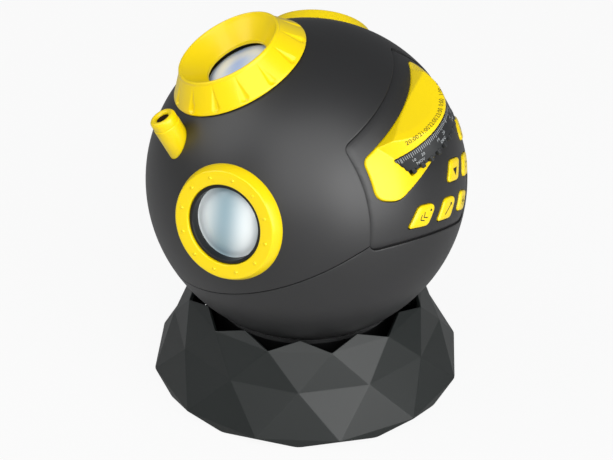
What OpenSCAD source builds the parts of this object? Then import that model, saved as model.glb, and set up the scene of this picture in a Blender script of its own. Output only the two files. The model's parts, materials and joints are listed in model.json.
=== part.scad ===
// Planetarium projector: a ball with one star lens, two glow ports and a meteor tube, in a faceted base.
// World frame: origin on the floor under the ball, +Z up, -Y towards the viewer, millimetres.
// Ball frame: origin in the middle of the ball, +Z along the star lens, -Y towards the control panel.

/* [Ball] */
// Outer radius of the ball
ball_r = 83.5; // [80:0.5:88]
// Wall of the two ball shells
shell_t = 2.5; // [2:0.1:3]
// Height of the seam between the shells below the middle of the ball
seam_drop = 0.8; // [0:0.1:1.6]
// Open width of the seams between outer mouldings
seam_gap = 0.3; // [0.2:0.05:0.5]
// Free space between the floor and the bottom of the ball
ball_lift = 30.5; // [29:0.5:34]
// Turn of the ball about the vertical, as it stands
ball_heading = 71.2; // [60:0.1:80]
// Sideways roll of the ball, as it stands
ball_roll = -13.9; // [-16:0.1:-10]
// Backward lean of the ball, as it stands
ball_pitch = -22.8; // [-26:0.1:-18]

/* [Base] */
// Number of facets round the base
facets = 12; // [8:1:16]
// Turn of the facets about the vertical
facet_turn = -3.2; // [-10:0.1:10]
// Radius of the facet corners at the floor
foot_r = 80.8; // [78:0.1:83]
// How far the widest facet corners stand out from those at the floor
belt_out = 3.2; // [1:0.1:5]
// Height of the widest facet corners
belt_z = 5.4; // [4:0.1:8]
// How far the facet corners halfway up stand in from those at the floor
waist_in = 8.7; // [6:0.1:11]
// Height of the facet corners halfway up
waist_z = 28.6; // [25:0.1:32]
// How far the crown's notches stand in from the corners at the floor
notch_in = 17; // [15:0.1:19]
// Height of the notches in the crown
notch_z = 47.2; // [45:0.1:49]
// Height of the crown's peaks
peak_z = 52; // [50.5:0.1:54]
// Thickness of the base wall
base_t = 2.6; // [2:0.1:3.2]
// Width of the crown's peaks where they close on the ball
peak_land = 1; // [0.6:0.1:1.6]
// Air between the ball and the crown
crown_air = 0.4; // [0.3:0.1:0.8]
// Lift of the base wall above the floor
skirt_lift = 0.5; // [0.3:0.1:0.8]
// Thickness of the bottom plate
plate_t = 2; // [1.6:0.1:3]
// Thickness of the rubber feet
pad_t = 1; // [0.8:0.1:1.6]
// Radius of the rubber feet
pad_r = 6; // [4:0.5:8]
// Distance of feet and base screws from the corners at the floor
base_screw_in = 14.8; // [12:0.1:18]

/* [Seat] */
// Outer radius of the seat ring's wall
seat_r = 49; // [46:0.5:51]
// Wall of the seat ring
seat_t = 3.5; // [3:0.1:5]
// Radius of the hub that the seat ring turns on
hub_r = 26; // [22:0.5:30]
// Height of the hub above the bottom plate
hub_h = 4.6; // [4:0.1:6]
// Thickness of the seat ring's floor
seat_floor_t = 3.5; // [3:0.1:4]
// Thickness of the soft pad under the ball
pad_depth = 2; // [1.5:0.1:3]
// Air between the ball and its soft pad
ball_air = 0.3; // [0.3:0.05:0.5]

/* [Control panel] */
// Half width of the panel at its top edge
panel_top_w = 38.5; // [37:0.5:40]
// Height of the panel's top edge
panel_top_z = 44.6; // [43:0.1:46]
// Half width of the panel at its widest
panel_side_w = 60.5; // [58:0.5:62]
// Height of the panel's widest point
panel_side_z = -3.5; // [-5:0.1:-2]
// Height of the panel's lower tip
panel_tip_z = -42; // [-44:0.1:-40]
// How far the panel lies below the ball's surface
panel_step = 0.4; // [0.2:0.1:0.8]
// Width of the hidden rim behind the panel's edges
rim_w = 3; // [2:0.1:4]
// Thickness of the hidden rims
rim_t = 1.4; // [1:0.1:1.6]

/* [Dial] */
// Half width of the yellow fascia at its top
fascia_top_w = 38.5; // [37:0.5:40]
// Height of the fascia's top edge
fascia_top_z = 34.9; // [34:0.1:36]
// Half width of the fascia at its widest
fascia_side_w = 47.2; // [46:0.1:49]
// Height of the fascia's widest point
fascia_side_z = 16.3; // [15:0.1:17]
// Half width of the fascia at its lower edge
fascia_low_w = 40; // [38:0.5:42]
// Height of the fascia's lower edge
fascia_low_z = 8.2; // [7:0.1:9]
// Depth of the dial's axle below the ball's surface
dial_depth = 22.5; // [21.5:0.5:23.5]
// How far the dial's printed band stands in from the tips of its teeth
dial_band_in = 0.3; // [0.2:0.1:2]
// Lower end of the dial, above the middle of the ball
dial_z = 12.5; // [12:0.1:13]
// Width of the dial's toothed rim
dial_tooth_h = 3; // [2.4:0.1:3.4]
// Width of the dial's printed band
dial_band_h = 9; // [8:0.1:9.5]
// Wall of the dial's printed band
dial_t = 2.6; // [2.4:0.1:3]
// Thickness of the lip over the dial
lip_t = 1.6; // [1.2:0.1:2]
// Slope of the fascia between the lip and the top edge
lip_slope = 29; // [26:0.5:31]
// Width of the lip's printed border
lip_border = 5; // [4:0.1:6]
// Depth of the dish behind the lip
dish_depth = 1.2; // [0.8:0.1:1.6]

/* [Keys] */
// Downward tilt of the direction in which the keys travel
key_tilt = 12; // [10:0.5:14]
// Sideways step from key to key
key_dx = 16.5; // [16:0.1:17.5]
// Downward step from key to key
key_dy = 9.8; // [9.4:0.1:10.4]
// Height of the middle low key, across the travel
key_low_y = -12.2; // [-13:0.1:-11.5]
// Height of the top key, across the travel
key_top_y = 8.6; // [8:0.1:9.5]
// Half length of a key
key_hw = 10; // [9:0.1:10.5]
// Half height of a key
key_hh = 6.4; // [5.6:0.1:6.6]
// Half length of the middle low key
key_low_hw = 8; // [7:0.1:10]
// How far the keys stand above the panel
key_proud = 1.1; // [0.8:0.1:1.4]
// Travel of the keys
key_travel = 1; // [0.8:0.1:1.2]
// Air round each key in its hole
key_air = 0.3; // [0.2:0.05:0.4]

/* [Star projector] */
// Lower radius of the focus ring's skirt
focus_low_r = 37; // [36:0.1:38]
// Height of the focus ring's lower edge above the ball's surface
focus_lift = 0.95; // [0.4:0.05:1.4]
// Radius of the focus ring's rim
focus_rim_r = 28.2; // [27.6:0.1:29]
// Height of the focus ring from its lower edge to its rim
focus_h = 13.4; // [12:0.1:15]
// Radius of the opening at the bottom of the funnel
aperture_r = 16.4; // [15.5:0.1:17]
// Depth of the funnel in the focus ring
funnel_depth = 9.7; // [9:0.1:10.4]
// Number of grip flutes round the focus ring
flutes = 14; // [10:1:18]
// Radius of the collar that the focus ring turns on
collar_r = 29.5; // [29:0.1:30]
// Radius of the lens barrel
barrel_r = 20.5; // [20:0.1:21]
// Wall of the lens barrel
barrel_t = 2.6; // [2:0.1:3]
// Length of the lens barrel
barrel_l = 35.4; // [32:0.1:38]
// Distance from the funnel's opening to the lens barrel
barrel_drop = 4.1; // [4:0.1:5]
// Travel of the lens barrel each way
focus_travel = 2; // [1:0.1:2.4]
// Radius of the bearing tube round the lamp
lamp_r = 20; // [19:0.1:21]
// Number of teeth of the star disc's gear and of the dial
disc_teeth = 36; // [30:6:42]
// Number of teeth of the motor's pinion
pinion_teeth = 12; // [10:2:16]
// Play between meshing teeth
backlash = 0.3; // [0.2:0.05:0.4]
// How far the star disc stands in from the pitch circle of its gear
disc_in = 4.2; // [4:0.1:5.5]
// Thickness of the star disc
disc_t = 1.2; // [1:0.1:1.5]
// Radius of the motor
motor_r = 12; // [10:0.5:12.5]
// Length of the motor
motor_h = 23; // [18:0.5:26]

/* [Glow ports] */
// Height of the port axes above the seam, in degrees
port_lat = 26.7; // [26:0.1:28]
// Outer radius of the port bezel
bezel_r = 29.5; // [28:0.1:30.5]
// Radius of the bezel's flat face
bezel_face_r = 27.6; // [26:0.1:28]
// How far the bezel's face stands out of the ball
bezel_proud = 1.1; // [0.7:0.1:1.9]
// Radius of the bezel's opening
bezel_hole_r = 20.3; // [19.8:0.1:20.8]
// Number of rivet heads on each bezel
rivets = 12; // [8:1:16]
// Distance of the rivet heads from the port axis
rivet_ring = 24; // [23.6:0.1:24.6]
// Radius of the rivet heads
rivet_r = 1; // [0.8:0.1:1.2]
// Inner radius of the port barrel
port_bore_r = 18.4; // [17.8:0.1:18.6]
// Depth of the port lens seat below the bezel's face
port_lens_depth = 7.4; // [6.6:0.1:8.6]
// Bulge of the port lens
port_bulge = 4.2; // [3:0.1:4.6]

/* [Meteor tube] */
// Outer radius of the meteor tube
meteor_r = 7; // [6.5:0.1:7.5]
// Radius of the meteor tube's mouth
meteor_mouth_r = 4; // [3.5:0.1:4.4]
// Length of the meteor tube outside the ball, along its axis
meteor_proud = 16; // [14:0.5:18]
// Turn of the meteor tube about the star lens, from the panel
meteor_lon = -121.5; // [-124:0.5:-119]
// Distance of the meteor tube from the star lens axis
meteor_ring = 48.5; // [48:0.1:50]

/* [Batteries] */
// Radius of a battery cell
cell_r = 7.1; // [7:0.05:7.2]
// Length of a battery cell
cell_l = 50; // [49:0.1:50.5]
// Number of cells side by side
cells = 4; // [2:1:4]
// Distance from cell to cell
cell_pitch = 15; // [14.8:0.1:15.2]
// Wall of the battery box
box_t = 2; // [1.6:0.1:2.4]
// Height of the cells' axes above the lowest point of the ball
cell_lift = 21.5; // [21:0.5:24]

/* [Fits and fixings] */
// Radial air of parts that turn or slide on each other
run_air = 0.06; // [0.03:0.01:0.1]
// Air between parts that are assembled and stay put
fit_air = 0.1; // [0.05:0.05:0.2]
// End play of turning parts
end_play = 0.3; // [0.2:0.05:0.5]
// Radius of the screws
screw_r = 1.5; // [1.3:0.1:1.7]
// Radius of the screw heads
screw_head_r = 2.8; // [2.6:0.1:3]
// Radius of the screw bosses
boss_r = 4.2; // [4:0.1:4.4]
// Thickness of the circuit boards
board_t = 1.6; // [1.2:0.1:2]

/* [Hidden] */
$fn = 96;
inner_r = ball_r - shell_t;
ball_z = ball_lift + ball_r;
panel_r = ball_r - panel_step;
key_r = panel_r + key_proud;
reach = ball_r + 20;                 // length of a cut that runs out of the ball
belt_r = foot_r + belt_out;
waist_r = foot_r - waist_in;
notch_r = foot_r - notch_in;
base_screw_ring = foot_r - base_screw_in;
dial_y = ball_r - dial_depth;
peak_from_ball = ball_r + crown_air + peak_land;
peak_r = sqrt(pow(peak_from_ball, 2) - pow(ball_z - peak_z, 2));

// Outlines across the front of the ball, as (X, Z) corners in turn
panel_outline = [[-panel_top_w, panel_top_z], [-panel_side_w, panel_side_z], [0, panel_tip_z],
                 [panel_side_w, panel_side_z], [panel_top_w, panel_top_z]];
panel_corner_r = [5, 4, 8, 4, 5];
fascia_outline = [[-fascia_top_w, fascia_top_z], [-fascia_side_w, fascia_side_z],
                  [-fascia_low_w, fascia_low_z], [fascia_low_w, fascia_low_z],
                  [fascia_side_w, fascia_side_z], [fascia_top_w, fascia_top_z]];
fascia_corner_r = [5, 7, 8, 8, 7, 5];

// Key places across the travel, low row from left to right, then the top key
key_places = [[-2 * key_dx, key_low_y + 2 * key_dy], [-key_dx, key_low_y + key_dy], [0, key_low_y],
              [key_dx, key_low_y + key_dy], [2 * key_dx, key_low_y + 2 * key_dy], [0, key_top_y]];
key_half = [key_hw, key_hw, key_low_hw, key_hw, key_hw, key_hw];
// Corner radii, outer point first: the side keys are leaves that point down and outwards
key_leaf_r = [1, 3, 2.6, 4];
key_even_r = [1.6, 3, 1.6, 3];
key_mirror_r = [key_leaf_r[2], key_leaf_r[1], key_leaf_r[0], key_leaf_r[3]];
key_corner_r = [key_leaf_r, key_leaf_r, key_even_r, key_mirror_r, key_mirror_r, key_even_r];
key_rim_w = 1;
key_stem_r = 2.4;
key_board_h = ball_r - 19.5;         // key board's face, along the travel
key_posts = [[-16.8, 7.6], [16.8, 7.6], [-9.8, -16.6], [9.8, -16.6]];
key_dome_h = 3.6;
key_stem_h = key_board_h + key_dome_h + key_travel + 0.2;
key_board_w = 74;
key_board_low = -21;
key_board_top = 13;

// Gears: the dial and the star disc turn at one rate
gear_pitch_r = dial_y / 2;
gear_module = 2 * gear_pitch_r / disc_teeth;
addendum = 1;
dedendum = 1.3;
pressure_angle = 20;
dial_tip_r = gear_pitch_r + addendum;
dial_r = dial_tip_r - dial_band_in;
disc_r = gear_pitch_r - disc_in;
pinion_pitch_r = gear_module * pinion_teeth / 2;
motor_y = gear_pitch_r + pinion_pitch_r;
gear_z = dial_z + 0.1;
gear_h = dial_tooth_h - 0.6;
dial_top_z = dial_z + dial_tooth_h + dial_band_h;
lip_z = dial_top_z + 0.4;
lip_r = dial_tip_r;
dial_air = 0.4;

// Heights along the star projector, from the focus ring inwards
focus_low_z = ball_at(focus_low_r) + focus_lift;
focus_rim_z = focus_low_z + focus_h;
aperture_z = focus_rim_z - funnel_depth;
barrel_top_z = aperture_z - barrel_drop;
barrel_z = barrel_top_z - barrel_l;
collar_top_z = aperture_z + 1;
collar_low_z = aperture_z - 5.5;
guide_top_z = aperture_z - 3.5;
guide_flange_z = aperture_z - 13.5;
pin_z = aperture_z - 8.5;
sleeve_z = aperture_z - 11.1;

// Lip inside the seam between the shells
band_h = 6;
band_t = 1.6;

rest_r = inner_r - rim_t - 0.6;      // face of the posts behind the panel
flute_r = 2.8;                       // radius of the focus ring's flutes at their wide ends

// Heights in the ball
deck_z = 1;                          // underside of the chassis
deck_t = 3;
deck_top = deck_z + deck_t;
deck_r = inner_r - 7;
boss_ring = 50;                      // distance of the long ball screws from the star axis
boss_turns = [-140, -40, 50, 130];   // bearings of the long ball screws, clear of ports and tube
shell_head_drop = 10;                // how deep in their bosses the heads of these screws lie
hub_wall = 3.9;
tray_z = 21;
tray_h = 3;
tray_r = disc_r + 1.7;
lamp_flange_t = 2;
lamp_top_z = 20;
lamp_wall = 2;
axle_r = 3;
axle_head_r = 5;
axle_top_z = dial_z + 6;
shaft_r = 1.5;
guide_wall = 1.8;
guide_flange_r = 35;
guide_ring = 30.5;
guide_turns = [0, 120, 240];
pin_r = 1.5;
sleeve_in_r = 24.2;
sleeve_out_r = 26.2;
collar_t = 2;
lens_r = barrel_r - 1.4;
lens_drop = 3.4;                     // how deep the front lens sits in the barrel's end

// Ports and lamps
port_hole_r = 25;
bezel_face_h = ball_r + bezel_proud;
port_lens_h = bezel_face_h - port_lens_depth;
bezel_skirt_h = bezel_face_h - 5.6;  // where the bezel's rounded edge ends
bezel_back_h = bezel_face_h - 12.6;
port_back_h = ball_r - 23.5;
port_front_h = bezel_face_h - 1.3;
port_ledge = 1.6;
meteor_top_z = ball_at(meteor_ring) + meteor_proud;
meteor_low_z = ball_at(meteor_ring) - 12;
cell_drop = ball_r - cell_lift;
box_in_w = cell_l + 4;               // room along the cells, with their contacts
box_in_d = cells * cell_pitch;
box_top_z = -cell_drop + cell_r + 0.9;
door_w = box_in_w;
door_low = -box_in_d / 2 - 9;
door_high = box_in_d / 2;
door_screw_y = -box_in_d / 2 - 4.6;
door_tab_w = 16;
door_head_t = 1;
door_head_z = -ball_at(screw_head_r - door_screw_y) + seam_gap;   // lowest level of the door screw's head
door_boss_z = door_head_z + door_head_t + 1.4;
door_boss_r = screw_head_r + 1.2;

// ---- Helpers ----

// Puts a piece from the ball frame into the world, at rest
module on_ball() translate([0, 0, ball_z]) rotate([ball_pitch, ball_roll, ball_heading]) children();

// Turns +Z outwards at a longitude from the panel and a latitude above the seam
module facing(lon, lat) rotate([90 - lat, 0, lon]) children();

// Turns +Z to the direction in which the keys come out
module along_keys() facing(0, -key_tilt) children();

module tube(r_out, r_in, h) difference() {
    cylinder(r = r_out, h = h);
    translate([0, 0, -1]) cylinder(r = r_in, h = h + 2);
}

module hollow_ball(r_out, r_in) difference() {
    sphere(r = r_out);
    sphere(r = r_in);
}

// A cut or a block that runs from the middle of the ball out through its front
module through_front(outline) rotate([90, 0, 0]) linear_extrude(reach) polygon(outline);

// Height of the ball's surface at a distance from an axis through its middle
function ball_at(r) = sqrt(pow(ball_r, 2) - pow(r, 2));
function unit(v) = v / norm(v);
// Right-hand normal of the edge from a to b, which points outwards on a counter-clockwise outline
function edge_normal(a, b) = let (u = unit(b - a)) [u.y, -u.x];
// A convex outline with every edge moved outwards by d
function grown(p, d) = let (n = len(p)) [for (i = [0:n - 1])
    let (before = edge_normal(p[(i + n - 1) % n], p[i]), after = edge_normal(p[i], p[(i + 1) % n]))
    p[i] + d / (1 + before * after) * (before + after)];
// A convex outline with its corners rounded to the radii r
function rounded(p, r, steps = 6) = let (n = len(p)) [for (i = [0:n - 1])
    let (before = edge_normal(p[(i + n - 1) % n], p[i]), after = edge_normal(p[i], p[(i + 1) % n]),
         middle = p[i] - r[i] / (1 + before * after) * (before + after),
         start = atan2(before.y, before.x), turn = acos(min(1, before * after)))
    for (k = [0:steps]) let (a = start + turn * k / steps) middle + r[i] * [cos(a), sin(a)]];

function panel_edge(grow) = rounded(grown(panel_outline, grow), [for (r = panel_corner_r) r + grow]);
function fascia_edge(grow) = rounded(grown(fascia_outline, grow), [for (r = fascia_corner_r) r + grow]);
function key_edge(i, grow) = rounded(
    grown([for (c = [[-key_half[i], 0], [0, -key_hh], [key_half[i], 0], [0, key_hh]])
        key_places[i] + c], grow), [for (r = key_corner_r[i]) r + grow]);

// Angle that an involute has turned through when it reaches radius r
function involute_angle(base, r) = let (a = acos(min(1, base / r))) tan(a) * 180 / PI - a;
// Half the angle of a tooth at radius r
function half_tooth(teeth, pitch_r, r) = let (base = pitch_r * cos(pressure_angle))
    90 / teeth - backlash / 4 / pitch_r * 180 / PI + involute_angle(base, pitch_r)
    - involute_angle(base, max(r, base));
// Outline of a spur gear with a tooth on +X
function gear_outline(teeth, pitch_r) = let (flank = [-dedendum, -0.4, 0.3, addendum])
    [for (k = [0:teeth - 1]) each concat(
        [for (s = flank) let (r = pitch_r + s, a = k * 360 / teeth - half_tooth(teeth, pitch_r, r))
            r * [cos(a), sin(a)]],
        [for (i = [len(flank) - 1:-1:0]) let (r = pitch_r + flank[i],
            a = k * 360 / teeth + half_tooth(teeth, pitch_r, r)) r * [cos(a), sin(a)]])];

// Corner of a row of the base: k counts round, half rows lie between the others
function facet_point(row, k) = let (a = facet_turn - 90 + (k + row[2]) * 360 / facets)
    [row[0] * cos(a), row[0] * sin(a), row[1]];
// Two triangles between one row and the next, for every facet
function facet_strip(i, half) = [for (k = [0:facets - 1]) let (k1 = (k + 1) % facets)
    each [[i * facets + k, (i + 1) * facets + (half > 0 ? k1 : k), i * facets + k1],
          [(half > 0 ? i * facets + k : i * facets + k1), (i + 1) * facets + k, (i + 1) * facets + k1]]];
// Solid of stacked facet rows, each row [radius, height, half step]
module facet_stack(rows) {
    last = len(rows) - 1;
    points = [for (row = rows) for (k = [0:facets - 1]) facet_point(row, k)];
    faces = concat([for (i = [0:last - 1]) each facet_strip(i, rows[i][2])],
                   [[for (k = [0:facets - 1]) k],
                    [for (k = [facets - 1:-1:0]) last * facets + k]]);
    polyhedron(points, faces);
}
// The same, with the last row as free-standing peaks round a hollow top
module facet_crown(rows, hollow_z) {
    last = len(rows) - 1;
    points = concat([for (row = rows) for (k = [0:facets - 1]) facet_point(row, k)], [[0, 0, hollow_z]]);
    middle = len(points) - 1;
    low = (last - 1) * facets;
    top = last * facets;
    faces = concat([for (i = [0:last - 2]) each facet_strip(i, rows[i][2])],
                   [[for (k = [0:facets - 1]) k]],
                   [for (k = [0:facets - 1]) let (k1 = (k + 1) % facets)
                       each [[low + k, top + k1, low + k1], [middle, low + k1, top + k1],
                             [middle, top + k1, low + k]]]);
    polyhedron(points, faces);
}

// ---- Base ----

base_rows = [[foot_r, skirt_lift, 0], [belt_r, belt_z, 0.5], [waist_r, waist_z, 0], [notch_r, notch_z, 0.5],
             [peak_r, peak_z, 0]];
plate_z = pad_t;
plate_r = (foot_r - base_t) * cos(180 / facets) - 0.5;
base_turns = [45:90:315];
base_boss_r = 4.8;
base_screw_grip = 10;                // length of the base screws in their bosses

// The base's one moulding is three nodes that meet without overlap: crown, rim and screw bosses
module base_inside() facet_stack([for (i = [0:4])
    [base_rows[i][0] - base_t, base_rows[i][1] - (i == 0 ? 2 : 0), base_rows[i][2]]]);
module base_wall() difference() {
    facet_crown(base_rows, belt_z);
    base_inside();
}

module base_crown() color("#2f3434") difference() {
    base_wall();
    translate([0, 0, ball_z]) sphere(r = ball_r + crown_air);
    translate([-reach, -reach, belt_z - reach]) cube([2 * reach, 2 * reach, reach]);
}

module base_rim() color("#2f3434") intersection() {
    base_wall();
    translate([-reach, -reach, 0]) cube([2 * reach, 2 * reach, belt_z]);
}

module base_bosses() color("#2f3434") difference() {
    intersection() {
        base_inside();
        for (a = base_turns) rotate(a) translate([base_screw_ring, 0, plate_z + plate_t])
            cylinder(r = base_boss_r, h = notch_z - plate_z - plate_t);
    }
    translate([0, 0, ball_z]) sphere(r = ball_r + crown_air);
    for (a = base_turns) rotate(a) translate([base_screw_ring, 0, 0])
        cylinder(r = screw_r + fit_air / 2, h = plate_z + plate_t + base_screw_grip + 2);
}

module base_plate() color("#26292a") difference() {
    union() {
        translate([0, 0, plate_z]) cylinder(r = plate_r, h = plate_t);
        translate([0, 0, plate_z + plate_t]) tube(hub_r, hub_r - 4, hub_h);
        for (a = [0:60:300]) rotate(a) translate([hub_r + 18, 0, plate_z])
            cylinder(r = 1.5, h = plate_t);
    }
    for (a = base_turns) rotate(a) translate([base_screw_ring, 0, 0]) {
        cylinder(r = screw_r + fit_air, h = 10);
        translate([0, 0, plate_z - 1]) cylinder(r = screw_head_r + fit_air, h = 2);
    }
    for (a = [0:120:240]) rotate(a) translate([hub_r - 2, 0, plate_z]) cylinder(r = 0.9, h = 10);
}

module base_feet() color("#151515") {
    cylinder(r = pad_r, h = pad_t);
    for (a = [0:90:270]) rotate(a) translate([base_screw_ring, 0, 0]) cylinder(r = pad_r, h = pad_t);
}

module base_screws() color("#8d9194") for (a = base_turns) rotate(a)
    translate([base_screw_ring, 0, plate_z]) {
        cylinder(r = screw_r, h = plate_t + base_screw_grip);
        cylinder(r = screw_head_r, h = 1);
    }

// ---- Seat ----

seat_z = plate_z + plate_t + end_play;
seat_clip_z = plate_z + plate_t + hub_h;

module seat_clip() color("#3a3d3f") {
    translate([0, 0, seat_clip_z]) tube(hub_r + 3, hub_r - 4, 1.2);
    for (a = [0:120:240]) rotate(a) translate([hub_r - 2, 0, plate_z + plate_t + 0.5])
        cylinder(r = 0.85, h = hub_h);
}

module seat_ring() color("#1c1e1f") difference() {
    union() {
        translate([0, 0, seat_z]) cylinder(r = seat_r, h = seat_floor_t);
        translate([0, 0, seat_z]) tube(seat_r, seat_r - seat_t, ball_z - seat_z);
        for (a = [0:60:300]) rotate(a) translate([seat_r - seat_t - 6, -1, seat_z + seat_floor_t - 0.5])
            cube([7, 2, 20]);
    }
    translate([0, 0, -1]) cylinder(r = hub_r + run_air, h = 60);
    translate([0, 0, ball_z]) sphere(r = ball_r + ball_air + pad_depth);
    translate([0, 0, ball_z - 20]) cylinder(r = seat_r + 2, h = 60);
}

module seat_pad() color("#101112") intersection() {
    translate([0, 0, ball_z]) hollow_ball(ball_r + ball_air + pad_depth, ball_r + ball_air);
    tube(seat_r, seat_r - seat_t - 2, ball_z - 20);
}

// ---- Ball shells ----

module meteor_place() rotate(meteor_lon) translate([0, -meteor_ring, 0]) children();
module boss_places() for (a = boss_turns) rotate(a) translate([boss_ring, 0, 0]) children();
module guide_places() for (a = guide_turns) rotate(a) translate([guide_ring, 0, 0]) children();
module port_places() for (lon = [-90, 90]) facing(lon, port_lat) children();
module dial_envelope() translate([0, -dial_y, dial_z - dial_air])
    cylinder(r = dial_tip_r + dial_air, h = lip_z - dial_z + dial_air);

// Band round the seam inside the ball, widened by the air that other parts leave round it
module seam_band(air) intersection() {
    sphere(r = inner_r - 0.1 + air);
    translate([0, 0, -band_h - air]) cylinder(r = reach, h = band_h + 2 + 2 * air);
}

module upper_shell() color("#4b4b4d") on_ball() difference() {
    union() {
        difference() {
            union() {
                hollow_ball(ball_r, inner_r);
                intersection() {
                    hollow_ball(inner_r + 0.2, inner_r - 0.1 - band_t);
                    cylinder(r = reach, h = 2);
                }
            }
            translate([0, 0, -reach - seam_drop + seam_gap / 2]) cylinder(r = reach, h = reach);
            port_places() cylinder(r = port_hole_r, h = reach);
            through_front(panel_edge(seam_gap));
        }
        difference() {
            seam_band(0);
            sphere(r = inner_r - 0.1 - band_t);
            along_keys() for (i = [0:5]) linear_extrude(reach) polygon(key_edge(i, key_rim_w + 0.4));
        }
        translate([0, 0, collar_low_z]) cylinder(r = collar_r, h = collar_top_z - collar_low_z);
        intersection() {
            sphere(r = ball_r - 1);
            union() {
                boss_places() translate([0, 0, deck_top]) cylinder(r = boss_r, h = ball_r);
                guide_places() translate([0, 0, guide_flange_z + 2]) cylinder(r = boss_r, h = 20);
            }
        }
    }
    translate([0, 0, -1]) cylinder(r = collar_r - collar_t, h = reach);
    meteor_place() cylinder(r = meteor_r + fit_air, h = reach);
    boss_places() translate([0, 0, deck_top - 1]) cylinder(r = screw_r + fit_air / 2, h = 14);
    guide_places() translate([0, 0, guide_flange_z]) cylinder(r = screw_r + fit_air / 2, h = 8);
}

// Posts on the lower shell that back the panel's lower edges
module panel_rests() for (lon = [-40.5, 40.5]) rotate(lon) {
    intersection() {
        translate([0, -rest_r + 2.1, -28]) cylinder(r = 2, h = 29.6);
        sphere(r = rest_r);
    }
    intersection() {
        translate([0, -rest_r + 2.1, -28]) cylinder(r = 2, h = 14);
        sphere(r = ball_r - 1);
    }
}

module lower_shell() color("#454547") on_ball() {
    panel_rests();
    lower_skin();
}

module lower_skin() difference() {
    union() {
        difference() {
            hollow_ball(ball_r, inner_r);
            translate([0, 0, -seam_drop - seam_gap / 2]) cylinder(r = reach, h = reach);
        }
        intersection() {
            sphere(r = ball_r - 1);
            boss_places() translate([0, 0, deck_z - ball_r]) cylinder(r = boss_r, h = ball_r);
        }
    }
    through_front(panel_edge(seam_gap));
    boss_places() {
        translate([0, 0, -ball_r]) cylinder(r = screw_r + fit_air, h = reach);
        translate([0, 0, -ball_r]) cylinder(r = screw_head_r + fit_air, h = ball_r - shell_head_drop);
    }
    translate([-door_w / 2, door_low, -ball_r]) cube([door_w, door_high - door_low, ball_r + box_top_z]);
}

module shell_screws() color("#8d9194") on_ball() boss_places() {
    translate([0, 0, -shell_head_drop]) cylinder(r = screw_r, h = shell_head_drop + deck_top + 12);
    translate([0, 0, -shell_head_drop - 2]) cylinder(r = screw_head_r, h = 2);
}

// ---- Panel, fascia and dial ----

module control_panel() color("#3a3a3c") on_ball() difference() {
    union() {
        intersection() {
            hollow_ball(panel_r, inner_r - 0.4);
            through_front(panel_edge(0));
        }
        intersection() {
            hollow_ball(inner_r - 0.2, inner_r - 0.2 - rim_t);
            difference() {
                through_front(panel_edge(rim_w));
                through_front(panel_edge(-2));
            }
        }
        intersection() {
            sphere(r = inner_r);
            along_keys() for (p = key_posts) translate([p.x, p.y, key_board_h]) cylinder(r = 2.2, h = reach);
        }
    }
    along_keys() for (p = key_posts) translate([p.x, p.y, key_board_h - 1]) cylinder(r = 1, h = 9);
    intersection() {
        sphere(r = ball_r);
        through_front(fascia_edge(seam_gap));
    }
    intersection() {
        sphere(r = inner_r - 0.5);
        through_front(fascia_edge(rim_w + seam_gap));
    }
    dial_envelope();
    seam_band(0.2);
    along_keys() for (i = [0:5]) linear_extrude(reach) polygon(key_edge(i, key_air));
}

// Block under the sloping top of the lip, up to the fascia's top edge
module under_slope(drop = 0) translate([0, -dial_y - lip_r, lip_z + lip_t - drop])
    rotate([lip_slope, 0, 0]) translate([-reach, -30, -60]) cube([2 * reach, 80, 60]);

module dial_fascia() color("#ffe000") on_ball() {
    chord = lip_r - lip_border;
    dish_r = (pow(chord, 2) + pow(dish_depth, 2)) / 2 / dish_depth;
    difference() {
        union() {
            intersection() {
                hollow_ball(ball_r, inner_r);
                through_front(fascia_edge(0));
            }
            difference() {
                intersection() {
                    hollow_ball(inner_r - 0.7, inner_r - 0.7 - rim_t);
                    through_front(fascia_edge(rim_w));
                }
                through_front(fascia_edge(-2));
            }
            difference() {
                intersection() {
                    hollow_ball(inner_r + 0.1, inner_r - 0.7 - rim_t);
                    through_front(fascia_edge(0));
                }
                through_front(fascia_edge(-2));
            }
            difference() {
                intersection() {
                    translate([0, -dial_y, lip_z]) cylinder(r = lip_r, h = reach);
                    under_slope();
                    through_front(fascia_edge(0));
                }
                sphere(r = inner_r);
            }
        }
        dial_envelope();
        translate([0, -dial_y - lip_r, lip_z + lip_t]) rotate([lip_slope, 0, 0])
            translate([0, lip_r + 1, dish_r - dish_depth]) sphere(r = dish_r, $fn = 200);
    }
}

module date_dial() color("#3b3e40") on_ball() translate([0, -dial_y, dial_z]) difference() {
    union() {
        rotate(90 + 180 / disc_teeth) linear_extrude(dial_tooth_h)
            polygon(gear_outline(disc_teeth, gear_pitch_r));
        translate([0, 0, dial_tooth_h - 0.2]) cylinder(r = dial_r, h = dial_band_h + 0.2);
    }
    translate([0, 0, dial_tooth_h]) tube(dial_r - dial_t, axle_r + 3, dial_band_h + 5);
    translate([0, 0, 6]) cylinder(r = axle_r + 4, h = 20);
    translate([0, 0, -1]) cylinder(r = axle_r + run_air, h = 20);
}

module dial_axle() color("#b9bcbf") on_ball() translate([0, -dial_y, 0]) {
    translate([0, 0, deck_top]) cylinder(r = axle_r + 1.6, h = dial_z - deck_top - end_play);
    translate([0, 0, deck_top]) cylinder(r = axle_r, h = axle_top_z - deck_top + 1);
    translate([0, 0, deck_z]) cylinder(r = axle_r - 0.5, h = deck_t + 1);
    translate([0, 0, axle_top_z + end_play]) cylinder(r = axle_head_r, h = 1.4);
}

// ---- Chassis and boards ----

module deck_screw_places() {
    for (a = [0:120:240]) rotate(a) translate([lamp_r + 3.5, 0, 0]) children();
    for (x = [-1, 1]) translate([x * (motor_r + 3.4), motor_y, 0]) children();
}

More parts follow.
